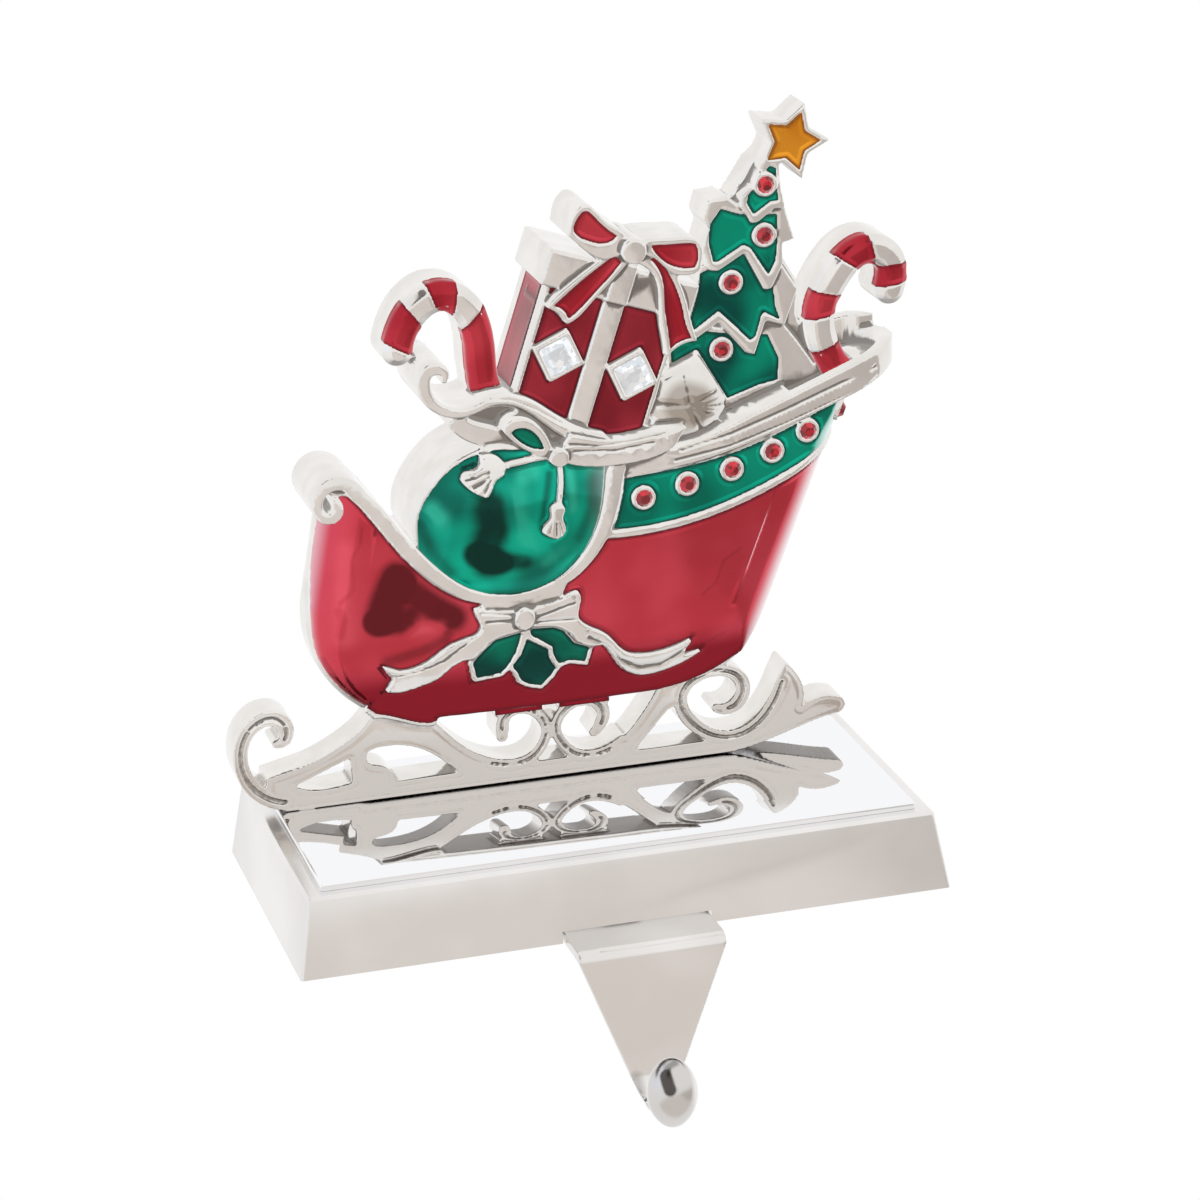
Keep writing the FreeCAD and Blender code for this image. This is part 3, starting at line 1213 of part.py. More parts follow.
if __name__ == "__main__":
    os.makedirs("parts", exist_ok=True)
    save("base_shell", make_base_shell())
    save("mirror_plate", make_mirror_plate())
    save("ballast_block", make_ballast())
    save("foot_pad", make_foot_pad())
    save("figure_screws", make_figure_screws())
    save("hook_screws", make_hook_screws())
    save("stocking_hook", make_hook())

    relief = make_bow()
    sack = make_sack()
    gift = make_gift()
    tree = make_tree()
    tub = make_tub()
    left_cane, left_stripes = cane_and_stripes(LEFT_CANE, STRIPES["left"])
    right_cane, right_stripes = cane_and_stripes(RIGHT_CANE, STRIPES["right"])

    band_rings = []
    band_holes = []
    band_stones = []
    for centre in BAND_STONES:
        ring, hole, stone = ring_and_stone(centre, crown_depth(centre, enamel_thickness))
        band_rings.append(ring)
        band_holes.append(hole)
        band_stones.append(stone)
    end_front_y = round_end_nose_y - round_end_nose - enamel_thickness
    ring, hole, stone = ring_and_stone(stern_nose_drawing(end_stone_height), end_front_y)
    band_rings.append(wrapped(ring))
    band_holes.append(wrapped(hole))
    band_stones.append(wrapped(stone))
    tree_rings = []
    tree_holes = []
    tree_stones = []
    for centre, front in zip(TIER_STONES, tier_front_y):
        ring, hole, stone = ring_and_stone(centre, front)
        tree_rings.append(ring)
        tree_holes.append(hole)
        tree_stones.append(stone)

    casting = joined([make_runner(), make_rim(), left_cane, right_cane] + tub + relief + sack + gift + tree
                     + band_rings + tree_rings)
    for hole in band_holes + tree_holes:
        casting = casting.cut(hole)
    for x in figure_screw_x:
        casting = casting.cut(upright(figure_screw_radius, x, figure_middle_y, plate_top_z - 1,
                                      plate_top_z + figure_screw_bite))
    save("sleigh_casting", casting)

    skins = {
        "enamel_body": crowned(TUB_FILL, tub_front(enamel_thickness), figure_middle_y).common(
            plate(TUB, -front_reach, front_reach)),
        "enamel_band": crowned(BAND_FILL, tub_front(enamel_thickness), figure_middle_y),
        "enamel_sack": crowned(SACK_FILL, sack_crown(enamel_thickness), figure_middle_y),
    }
    for name, skin in skins.items():
        save(name, skin.cut(casting), smallest_enamel)
    for name, wire in LEAVES.items():
        field = plate(leaf_floor_wire(wire), -front_reach, figure_middle_y)
        skin = field.common(body_crown(leaf_floor + leaf_fill)).cut(body_crown(leaf_floor)).cut(casting)
        save("enamel_holly_" + name, skin, smallest_enamel)
    for number, fill in enumerate(TIER_FILLS):
        front = tier_front_y[number]
        skin = plate(fill, front, front + tier_fill_depth).cut(casting)
        save("enamel_tree_" + str(number + 1), skin, smallest_enamel)
    field = star_outline(star_fill_outer_radius, star_fill_inner_radius)
    save("enamel_star", plate(field, star_front_y, star_front_y + tier_fill_depth))
    panels = [plate(wire, gift_front_y, gift_front_y + enamel_thickness).cut(casting)
              for wire in gift_panel_wires()]
    save("enamel_gift_left", panels[0], smallest_enamel)
    save("enamel_gift_right", panels[1], smallest_enamel)
    save("enamel_gift_side", gift_side_fill().cut(casting), smallest_enamel)
    for name, wire in GIFT_BOW_FILLS.items():
        front = gift_bow_front_y if name in ("left", "right") else gift_tail_front_y
        skin = plate(wire, front, front + enamel_thickness).cut(casting)
        save("enamel_gift_bow_" + name, skin, smallest_enamel)
    strips = [plate(wire, runner_front_y - stripe_thickness, runner_front_y).cut(casting)
              for wire in JOINT_STRIPS]
    save("enamel_joint_strips", Part.makeCompound(strips))
    front = ribbon_front_y - 1.5
    save("enamel_ribbon_loop", plate(RIBBON_LOOP_FILL, front, front + enamel_thickness).cut(casting))
    save("cane_stripes_left", left_stripes.cut(casting), smallest_enamel)
    save("cane_stripes_right", right_stripes.cut(casting), smallest_enamel)
    save("band_stones", Part.makeCompound(band_stones))
    save("tree_stones", Part.makeCompound(tree_stones))
    save("gift_crystals", make_crystals())
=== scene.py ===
import math

import bmesh
import bpy
import numpy
from mathutils import Matrix, Vector, kdtree
from mathutils.bvhtree import BVHTree


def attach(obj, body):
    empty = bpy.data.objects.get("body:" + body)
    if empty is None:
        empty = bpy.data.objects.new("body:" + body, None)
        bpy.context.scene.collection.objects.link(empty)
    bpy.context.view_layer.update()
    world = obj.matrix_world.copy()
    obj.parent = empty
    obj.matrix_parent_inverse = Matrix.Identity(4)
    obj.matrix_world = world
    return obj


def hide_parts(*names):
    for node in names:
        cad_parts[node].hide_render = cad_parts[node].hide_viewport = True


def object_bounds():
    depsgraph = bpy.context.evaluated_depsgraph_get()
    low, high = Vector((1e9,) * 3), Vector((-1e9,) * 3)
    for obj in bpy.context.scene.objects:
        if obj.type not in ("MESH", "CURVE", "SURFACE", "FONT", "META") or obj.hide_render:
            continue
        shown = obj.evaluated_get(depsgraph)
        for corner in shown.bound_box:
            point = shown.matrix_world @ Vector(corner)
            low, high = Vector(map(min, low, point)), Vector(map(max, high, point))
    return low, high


bl_info = {
    "name": "Sleigh stocking holder",
    "version": (1, 0, 0),
    "blender": (4, 5, 0),
    "location": "View3D > Sidebar > Holder",
    "description": "Builds the finished look of an enamelled sleigh stocking holder round its solids",
    "category": "Object",
}

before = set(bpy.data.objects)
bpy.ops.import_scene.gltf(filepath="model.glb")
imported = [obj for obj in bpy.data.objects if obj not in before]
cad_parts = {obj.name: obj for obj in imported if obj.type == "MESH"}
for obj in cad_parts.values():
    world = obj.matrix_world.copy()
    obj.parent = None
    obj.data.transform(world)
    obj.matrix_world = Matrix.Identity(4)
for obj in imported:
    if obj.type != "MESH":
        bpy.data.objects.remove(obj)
CAD_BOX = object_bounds()
MM = 0.001

# The view from which the outlines were read, in metres
CAMERA_PLACE = Vector((-0.19848, -0.74379, 0.32737))
CAMERA_RIGHT = Vector((0.9611, -0.2744, -0.0316))
CAMERA_UP = Vector((0.1198, 0.3110, 0.9428))
CAMERA_BACK = Vector((-0.2489, -0.9099, 0.3318))
CAMERA_LENS = 125.7
SENSOR_WIDTH = 36.0
PICTURE_WIDTH = 1200

# Stage
FLOOR_HEIGHT = -0.09
FLOOR_SIZE = 6.0
CARD_RISE = 0.002
UPPER_CARD_DISTANCE = 1.0
COOL_CARD_DISTANCE = 1.2
CARD_CENTRE_HEIGHT = 0.07
TABLE_GREY = (0.80, 0.755, 0.72)
TABLE_GREY_RIGHT = (0.60, 0.56, 0.53)
UPPER_CARD_GREY = (0.2, 0.185, 0.185)
COOL_CARD_WHITE = (1.0, 1.04, 1.12)
SOFT_SKY = 0.55
WHITE_SKY = 1.0
LAMP_AIM = Vector((0, 0, 0.06))
# Name, place, size and watts of each lamp
LAMPS = (("key", (-0.5, -0.7, 0.9), 0.5, 9.0), ("fill", (0.7, -0.5, 0.5), 0.6, 5.0))

# Casting
CASTING_PARTING = 0.0352
PARTING_OVERLAP = 0.8 * MM
RUNNER_TRIANGLES = 180000
SLEIGH_TRIANGLES = 195000
EDGE_LINE_INSET = 1.0
EDGE_LINE_HALF_WIDTH = 0.6
EDGE_LINE_DEPTH = 0.11 * MM
PARCEL_RADIUS = 8.5 * MM
FOLD_HALF_WIDTH = 0.8 * MM
FOLD_DEPTH = 0.28 * MM
LINE_HALF_WIDTH = 0.55 * MM
LINE_DEPTH = 0.3 * MM
# The runner's front faces carry a painted grey shade, up to where this fade ends
RUNNER_FRONT_SHADE_FADE = (0.026, 0.036)
RUNNER_FRONT_SHADE_GREY = (0.66, 0.61, 0.565)
# Painted shade on the parcel
PARCEL_SHADE_GREY = (0.41, 0.36, 0.31)

# Enamel: distances from a field's border are in millimetres
SHARP = math.radians(65)
BORDER_STEP = 0.25 * MM
SEAM_REACH = 0.7 * MM
SEAM_DROP = 1.1 * MM
IN_FRONT = -0.05
MIDDLE_START = 0.9
MIDDLE_FADE = 1.2
SWELL = 0.06 * MM
# Painted shade and painted highlights along strokes: the enamel's colours darkened or lightened by these shares
PAINTED_SHADE_SHARE = 0.26
PAINTED_HIGHLIGHT_SHARE = 1.3
PAINTED_HIGHLIGHT_LIFT = 0.05
# The red enamel grows darker towards the bottom, between these heights
BOTTOM_DARKENING_LEVELS = (0.0405, 0.0475)

# Base and hook
FOOT_EDGE = 0.35 * MM
STEP_EDGE = 0.2 * MM
HOOK_VOXEL = 0.3 * MM
HOOK_TRIANGLES = 90000
HOOK_LINE_HALF_WIDTH = 0.5 * MM
# The hook's polished ball goes over into its satin strip between these levels
BALL_LEVELS = (-0.066, -0.058)

ENAMEL_NODES = {
    "red": ["enamel_body", "enamel_joint_strips"],
    "gift red": ["enamel_gift_left", "enamel_gift_right", "enamel_gift_side"],
    "stripe red": ["enamel_gift_bow_left", "enamel_gift_bow_right", "enamel_gift_bow_tail_left",
                   "enamel_gift_bow_tail_right", "cane_stripes_left", "cane_stripes_right"],
    "green": ["enamel_band"],
    "sack green": ["enamel_sack"],
    "leaf green": ["enamel_holly_left", "enamel_holly_middle", "enamel_holly_right", "enamel_ribbon_loop"],
    "tree green": ["enamel_tree_1", "enamel_tree_2", "enamel_tree_3", "enamel_tree_4"],
    "amber": ["enamel_star"],
}


# Lines scored into the casting's front, each a run of places in the picture's frame
SCORED_LINES = [
    # swoosh over the sack
    [(443, 413), (466, 404), (490, 398.5), (513, 400), (537, 409), (560, 422), (584, 431)],
    [(569, 444), (598, 446), (633, 441), (663, 434), (678, 428)],
    [(575, 451), (616, 450), (654, 442)],
    # rim
    [(681, 450), (732, 433), (786, 409), (840, 383), (876, 366)],
    [(675, 460), (729, 446), (788, 422), (848, 394), (877, 378)],
    # bow: loops, then tails
    [(482, 613.5), (514, 615)],
    [(486, 622.5), (512, 621)],
    [(538, 617), (575, 603)],
    [(538, 622.5), (578, 619)],
    [(575, 596), (580, 619), (589, 631)],
    [(589, 637), (607, 646), (621, 660), (639, 667), (661, 664), (686, 649)],
    [(482, 631), (464, 646), (443, 662), (421, 671), (393, 678)],
    # left tassel, then right tassel
    [(489, 473), (465, 479)],
    [(489, 477), (472, 488)],
    [(491, 480), (484, 495)],
    [(553, 523), (549, 536)],
    [(557, 523), (557, 537)],
    [(561, 523), (564, 535)],
    [(549, 518), (565, 517)],
]
PARCEL_MIDDLE = (690, 400)
PARCEL_FOLDS = [
    [(688, 405), (672, 404), (658, 403)],
    [(688, 405), (687, 393), (684, 382)],
    [(688, 405), (705, 399), (716, 392)],
    [(688, 405), (708, 413), (726, 409)],
    [(688, 405), (697, 420), (702, 430)],
]
# Painted shade and painted reflections: how dark (or light, below nothing), half width and blur in millimetres,
# and places
# Painted dark reflections and highlights on the sack's green enamel
SACK_PAINTED_REFLECTIONS = [
    (0.9, 1.9, 3.0, [(490, 508), (494, 528), (484, 552), (490, 564)]),
    (0.8, 1.0, 2.2, [(476, 556), (500, 562), (524, 561)]),
    (0.55, 0.5, 2.2, [(420, 524), (431, 550), (450, 572)]),
    (0.6, 0.3, 1.2, [(549, 474), (546, 500), (541, 528)]),
    (0.5, 0.6, 2.2, [(594, 478), (592, 508), (580, 536)]),
    (-0.45, 0.8, 2.0, [(524, 474), (533, 472)]),
    (-0.35, 0.8, 2.6, [(518, 492), (519, 520), (530, 548)]),
    (-0.45, 0.8, 2.4, [(432, 510), (440, 518)]),
    (-0.5, 0.4, 1.6, [(570, 474), (573, 508)]),
    (-0.3, 0.5, 1.8, [(546, 562), (562, 550)]),
]
# Painted dark reflections and highlights on the red body
BODY_PAINTED_REFLECTIONS = [
    (0.95, 2.0, 2.4, [(396, 578), (386, 600), (380, 618)]),
    (0.9, 1.8, 2.4, [(400, 584), (424, 602), (452, 618)]),
    (0.9, 1.6, 2.0, [(378, 624), (404, 622)]),
    (0.55, 0.5, 1.8, [(388, 662), (420, 652), (446, 640)]),
    (-0.45, 0.4, 1.6, [(412, 632), (440, 626)]),
    (-0.4, 0.8, 3.0, [(345, 552), (342, 590), (346, 640)]),
    (0.35, 0.12, 0.5, [(362, 528), (360, 545), (352, 560), (354, 590), (340, 604)]),
    (0.45, 0.3, 0.9, [(339, 612), (343, 622), (340, 636)]),
    (0.3, 0.12, 0.5, [(703, 594), (716, 582), (724, 560), (741, 548)]),
    (0.3, 0.12, 0.5, [(640, 655), (668, 640), (700, 646), (724, 632)]),
]
# Painted shade on the parcel
PARCEL_PAINTED_SHADE = [
    (0.85, 3.4, 1.8, [(686, 404), (694, 406)]),
]
# Painted dark reflection on the hook's ball
BALL_PAINTED_REFLECTION = [
    (1.0, 0.9, 0.5, [(665.5, 1076), (670, 1090)]),
    (0.45, 0.4, 0.6, [(667, 1068), (675, 1063)]),
    (0.4, 0.4, 1.4, [(636, 1078), (640, 1092)]),
    (0.22, 4.5, 1.0, [(668, 1078), (671, 1112)]),
]
HOOK_LINE = [(568, 958), (600, 951), (660, 943), (723, 933)]


class Socket:
    """A shader socket that takes part in sums, so that maths reads as maths."""

    def __init__(self, graph, socket):
        self.graph = graph
        self.socket = socket

    def _math(self, operation, first, second=None):
        values = {0: first}
        if second is not None:
            values[1] = second
        return self.graph.node("ShaderNodeMath", {"operation": operation}, values)

    def __add__(self, other):
        return self._math("ADD", self, other)

    def __radd__(self, other):
        return self._math("ADD", other, self)

    def __sub__(self, other):
        return self._math("SUBTRACT", self, other)

    def __rsub__(self, other):
        return self._math("SUBTRACT", other, self)

    def __mul__(self, other):
        return self._math("MULTIPLY", self, other)

    def __rmul__(self, other):
        return self._math("MULTIPLY", other, self)

    def clamped(self):
        """The value held between nothing and one."""
        return self.graph.node("ShaderNodeClamp", {}, {"Value": self})

    def spread(self, low, high, to_low=0.0, to_high=1.0):
        """The value's span from low to high, mapped smoothly to a new span."""
        return self.graph.node("ShaderNodeMapRange", {"interpolation_type": "SMOOTHSTEP"},
                               {"Value": self, "From Min": low, "From Max": high,
                                "To Min": to_low, "To Max": to_high})


class Graph:
    """A material or world under construction."""

    def __init__(self, owner):
        owner.use_nodes = True
        self.tree = owner.node_tree
        self.tree.nodes.clear()

    def node(self, kind, settings=None, values=None, output=0):
        """Add a node: settings first, then values or links of its sockets."""
        made = self.tree.nodes.new(kind)
        for name, value in (settings or {}).items():
            setattr(made, name, value)
        for name, value in (values or {}).items():
            socket = made.inputs[name]
            if isinstance(value, Socket):
                self.tree.links.new(value.socket, socket)
            else:
                socket.default_value = value
        return Socket(self, made.outputs[output]) if len(made.outputs) else None

    def mix(self, factor, first, second):
        """Blend two colours."""
        made = self.tree.nodes.new("ShaderNodeMix")
        made.data_type = "RGBA"
        for index, value in ((0, factor), (6, first), (7, second)):
            if isinstance(value, Socket):
                self.tree.links.new(value.socket, made.inputs[index])
            else:
                made.inputs[index].default_value = value
        return Socket(self, made.outputs[2])

    def place(self):
        """Object coordinates, in metres."""
        return self.node("ShaderNodeTexCoord", output="Object")

    def along(self, vector, axis):
        """A vector's part along X, Y or Z."""
        return self.node("ShaderNodeSeparateXYZ", {}, {"Vector": vector}, output=axis)

    def height(self):
        """How high a point lies, in metres."""
        return self.along(self.place(), "Z")

    def facing(self, axis):
        """How much the surface faces along X, Y or Z, from minus one to one."""
        return self.along(self.node("ShaderNodeNewGeometry", output="Normal"), axis)

    def rays(self, kind, *others):
        """One for rays of these kinds and nothing for the rest."""
        path = self.tree.nodes.new("ShaderNodeLightPath")
        seen = Socket(self, path.outputs[kind])
        for other in others:
            seen = seen + Socket(self, path.outputs[other])
        return seen.clamped()

    def noise(self, scale, detail=2.0):
        """Soft noise in object space."""
        return self.node("ShaderNodeTexNoise", {}, {"Vector": self.place(), "Scale": scale, "Detail": detail})

    def bump(self, height, strength, distance):
        """Surface relief from a height."""
        return self.node("ShaderNodeBump", {}, {"Height": height, "Strength": strength, "Distance": distance})

    def measured(self, name):
        """A number kept on each point of the mesh."""
        return self.node("ShaderNodeAttribute", {"attribute_name": name}, output="Fac")

    def surface(self, values):
        """Principled surface to the output."""
        shader = self.node("ShaderNodeBsdfPrincipled", {}, values)
        self.node("ShaderNodeOutputMaterial", {}, {"Surface": shader})


def colour(red, green, blue):
    """Opaque colour from its three parts."""
    return (red, green, blue, 1.0)


def new_graph(name):
    """A material by name and the graph that fills it."""
    material = bpy.data.materials.new(name)
    return material, Graph(material)


def make_nickel(settings):
    """Bright cast plating: polished on ridges, dark with patina in recesses, with painted shade underneath, on
    the runner's front and on the parcel.
    """
    material, graph = new_graph("bright cast nickel")
    relief = graph.measured("relief") + (graph.noise(900.0) - 0.5) * 0.02
    hollow = relief.spread(0.006, 0.05, 0.0, 0.85)
    # Painted shade on faces that look down, added to the patina
    painted_underside_shade = (0 - graph.facing("Z")).spread(0.2, 0.85, 0.0, 0.8)
    patina_and_underside_shade = (hollow + painted_underside_shade).clamped()
    mottle = graph.noise(150.0, 3.0).spread(0.3, 0.7)
    bright = graph.mix(mottle, colour(*settings.nickel_shade), colour(*settings.nickel_colour))
    # Painted grey shade on the runner's front faces
    runner_front_shade = (0 - graph.facing("Y")).spread(0.75, 0.95) * graph.height().spread(*RUNNER_FRONT_SHADE_FADE, 1.0, 0.0)
    bright = graph.mix(runner_front_shade, bright, colour(*RUNNER_FRONT_SHADE_GREY))
    # Painted shade on the parcel, kept on the points
    bright = graph.mix(graph.measured("painted_light").clamped(), bright, colour(*PARCEL_SHADE_GREY))
    graph.surface({
        "Base Color": graph.mix(patina_and_underside_shade, bright, colour(*settings.patina_and_shade_colour)),
        "Metallic": 1.0,
        "Roughness": patina_and_underside_shade.spread(0.0, 1.0, 0.12, 0.26),
        "Normal": graph.bump(graph.noise(240.0), 0.12, 0.0005),
    })
    return material


def make_satin(settings):
    """Satin plating of the foot."""
    material, graph = new_graph("satin nickel")
    graph.surface({
        "Base Color": graph.mix(graph.noise(38.0, 3.0).spread(0.35, 0.65),
                                colour(*settings.satin_shade), colour(*settings.satin_colour)),
        "Metallic": 1.0,
        "Roughness": graph.noise(30.0).spread(0.3, 0.7, 0.2, 0.25),
    })
    return material


def make_mirror():
    """Mirror-polished step."""
    material, graph = new_graph("mirror polish")
    graph.surface({"Base Color": colour(0.92, 0.925, 0.94), "Metallic": 1.0, "Roughness": 0.03})
    return material


def make_enamel(name, deep, bright, border, wave, roughness, painted_side_sheen=None, bottom_colour=None):
    """Clear coloured enamel over bright metal.

    It has painted shade along its border, painted shade and highlights along kept strokes and a painted pale
    reflection where it turns away to a side, and it may grow darker towards the bottom.
    """
    material, graph = new_graph(name)
    shore = graph.measured("shore")
    painted_light = graph.measured("painted_light")
    body = graph.mix(graph.noise(65.0, 1.5).spread(0.36, 0.62), colour(*deep), colour(*bright))
    # Darker towards the bottom
    if bottom_colour:
        ragged_height = graph.height() + (graph.noise(40.0) - 0.5) * 0.006
        body = graph.mix(ragged_height.spread(*BOTTOM_DARKENING_LEVELS), colour(*bottom_colour), body)
    # Painted shade and painted highlights, kept on the points
    ragged_painted_light = painted_light + (graph.noise(330.0, 3.0) - 0.5) * painted_light * 0.35
    dark = [part * PAINTED_SHADE_SHARE for part in deep]
    light = [min(1.0, part * PAINTED_HIGHLIGHT_SHARE + PAINTED_HIGHLIGHT_LIFT) for part in bright]
    body = graph.mix(ragged_painted_light.spread(0.0, 1.0), body, colour(*dark))
    body = graph.mix((0 - painted_light).spread(0.0, 1.0), body, colour(*light))
    # Painted shade along the border
    body = graph.mix(shore.spread(0.1, 0.9), colour(*border), body)
    # Painted pale reflection where the enamel turns to a side
    if painted_side_sheen:
        across = graph.facing("X")
        body = graph.mix(across.spread(0.38, 0.80), body, colour(*painted_side_sheen))
        body = graph.mix((0 - across).spread(0.75, 1.0, 0.0, 0.55), body, colour(*painted_side_sheen))
    swell = graph.noise(60.0, 1.5) * wave - shore.spread(0.0, 1.4) * 0.5
    graph.surface({
        "Base Color": body,
        "Metallic": 0.97,
        "Roughness": roughness,
        "Coat Weight": 0.2,
        "Coat Roughness": 0.03,
        "Normal": graph.bump(swell, 0.5, 0.0012),
    })
    return material


def make_stone(name, body, shade):
    """Faceted glass with a foiled back and painted flashes of reflection on its facets."""
    material, graph = new_graph(name)
    cells = graph.node("ShaderNodeTexVoronoi", {}, {"Vector": graph.place(), "Scale": 900.0}, output="Color")
    # Painted flashes of reflection, cell by cell
    painted_facet_flash = graph.node("ShaderNodeSeparateColor", {}, {"Color": cells}, output="Red").spread(0.2, 0.9)
    graph.surface({
        "Base Color": graph.mix(painted_facet_flash, colour(*shade), colour(*body)),
        "Metallic": 0.8,
        "Roughness": 0.06,
        "Coat Weight": 1.0,
        "Coat Roughness": 0.01,
    })
    return material


def make_plain(name, body, metallic, roughness):
    """One even finish."""
    material, graph = new_graph(name)
    graph.surface({
        "Base Color": colour(*body),
        "Metallic": metallic,
        "Roughness": roughness,
        "Normal": graph.bump(graph.noise(900.0, 3.0), 0.3, 0.0004),
    })
    return material


def select_only(obj):
    """Leave one object selected and active."""
    bpy.ops.object.select_all(action="DESELECT")
    obj.select_set(True)
    bpy.context.view_layer.objects.active = obj


def dress(obj, material):
    """Give an object one material."""
    obj.data.materials.clear()
    obj.data.materials.append(material)


def node_copy(node, name):
    """A merged copy of a solid's mesh, free to be shaped."""
    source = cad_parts[node]
    piece = bpy.data.objects.new(name, source.data.copy())
    bpy.context.scene.collection.objects.link(piece)
    select_only(piece)
    bpy.ops.object.mode_set(mode="EDIT")
    bpy.ops.mesh.select_all(action="SELECT")
    bpy.ops.mesh.remove_doubles(threshold=2e-6)
    bpy.ops.object.mode_set(mode="OBJECT")
    return piece


def apply_modifier(piece, kind, **settings):
    """Add a modifier and apply it."""
    select_only(piece)
    modifier = piece.modifiers.new(kind.lower(), kind)
    for name, value in settings.items():
        setattr(modifier, name, value)
    bpy.ops.object.modifier_apply(modifier=modifier.name)


def stand_for(piece, node):
    """Hold a finished piece inside the solids' box and let it stand for its solid."""
    place = numpy.clip(read_points(piece.data, "co"), CAD_BOX[0], CAD_BOX[1])
    piece.data.vertices.foreach_set("co", place.ravel())
    piece.data.update()
    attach(piece, "root")
    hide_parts(node)


def thin_out(piece, limit):
    """Keep at most so many triangles, shaded smoothly."""
    triangles = sum(len(face.vertices) - 2 for face in piece.data.polygons)
    if triangles > limit:
        apply_modifier(piece, "DECIMATE", ratio=limit / triangles)
    select_only(piece)
    bpy.ops.object.shade_smooth()


def soften(piece, voxel, passes):
    """Round every edge a little, as casting and polishing do."""
    apply_modifier(piece, "REMESH", mode="VOXEL", voxel_size=voxel, adaptivity=0.0)
    apply_modifier(piece, "SMOOTH", factor=0.5, iterations=passes)


def part_of_casting(name, height, above):
    """The casting above or below a level, capped there."""
    piece = node_copy("sleigh_casting", name)
    select_only(piece)
    bpy.ops.object.mode_set(mode="EDIT")
    bpy.ops.mesh.select_all(action="SELECT")
    bpy.ops.mesh.bisect(plane_co=(0, 0, height), plane_no=(0, 0, 1), use_fill=True,
                        clear_inner=above, clear_outer=not above)
    bpy.ops.object.mode_set(mode="OBJECT")
    return piece


def carve_edge_line(piece, tree):
    """A fine groove that follows the runner's edges on its front face."""
    place = read_points(piece.data, "co")
    front = numpy.flatnonzero(read_points(piece.data, "normal")[:, 1] < -0.85)
    inset = numpy.array([tree.find(place[index])[2] for index in front]) / MM - EDGE_LINE_INSET
    place[front, 1] += EDGE_LINE_DEPTH * numpy.clip(1.0 - numpy.abs(inset) / EDGE_LINE_HALF_WIDTH, 0.0, 1.0)
    piece.data.vertices.foreach_set("co", place.ravel())
    piece.data.update()


def calm(piece, centre, radius, passes):
    """Smooth a piece round one point."""
    place = read_points(piece.data, "co")
    near = numpy.flatnonzero(numpy.linalg.norm(place - numpy.array(centre), axis=1) < radius)
    group = piece.vertex_groups.new(name="calm")
    group.add(near.tolist(), 1.0, "REPLACE")
    apply_modifier(piece, "SMOOTH", factor=0.5, iterations=passes, vertex_group="calm")
    piece.vertex_groups.clear()


def surface_of(piece):
    """A piece's surface, ready for finding where a line of sight meets it."""
    shape = bmesh.new()
    shape.from_mesh(piece.data)
    surface = BVHTree.FromBMesh(shape)
    shape.free()
    return surface


def seen_at(surface, across, down):
    """Where the surface is met at a place in the picture's frame, or nothing."""
    focal = CAMERA_LENS / SENSOR_WIDTH
    aside = (across / PICTURE_WIDTH - 0.5) / focal
    above = (0.5 - down / PICTURE_WIDTH) / focal
    sight = CAMERA_RIGHT * aside + CAMERA_UP * above - CAMERA_BACK
    return surface.ray_cast(CAMERA_PLACE, sight.normalized())[0]


def distance_to_line(place, surface, line, reach):
    """How far each place lies from a line seen on a surface, or the reach where it is farther."""
    distance = numpy.full(len(place), reach)
    points = [point for point in (seen_at(surface, *spot) for spot in line) if point]
    for start, end in zip(points, points[1:]):
        low = numpy.minimum(start, end) - reach
        high = numpy.maximum(start, end) + reach
        near = numpy.flatnonzero(((place >= low) & (place <= high)).all(axis=1))
        run = numpy.array(end - start)
        share = numpy.clip((place[near] - numpy.array(start)) @ run / max(run @ run, 1e-12), 0.0, 1.0)
        away = numpy.linalg.norm(place[near] - numpy.array(start) - share[:, None] * run, axis=1)
        distance[near] = numpy.minimum(distance[near], away)
    return distance


def score(piece, surface, lines, half_width, depth):
    """Press lines into a piece's front."""
    place = read_points(piece.data, "co")
    normal = read_points(piece.data, "normal")
    press = numpy.zeros(len(place))
    for line in lines:
        press = numpy.maximum(press, 1.0 - distance_to_line(place, surface, line, half_width) / half_width)
    press[normal[:, 1] > -0.2] = 0.0
    piece.data.vertices.foreach_set("co", (place - normal * (press * depth)[:, None]).ravel())
    piece.data.update()


def keep_painted_light(piece, surface, painted_light_strokes):
    """Keep painted shade and painted highlights on each point, from lines seen on the surface."""
    place = read_points(piece.data, "co")
    painted_light = numpy.zeros(len(place))
    for strength, half_width, blur, line in painted_light_strokes:
        reach = (half_width + blur) * MM
        distance = distance_to_line(place, surface, line, reach)
        painted_light += strength * numpy.clip((reach - distance) / (blur * MM), 0.0, 1.0)
    keep_number(piece.data, "painted_light", numpy.clip(painted_light, -1.0, 1.0))


def read_points(mesh, what):
    """The places or normals of a mesh's points, one row each."""
    rows = numpy.empty(len(mesh.vertices) * 3)
    mesh.vertices.foreach_get(what, rows)
    return rows.reshape(-1, 3)


def keep_number(mesh, name, values):
    """Keep one number on each point of a mesh."""
    mesh.attributes.new(name, "FLOAT", "POINT").data.foreach_set("value", values)


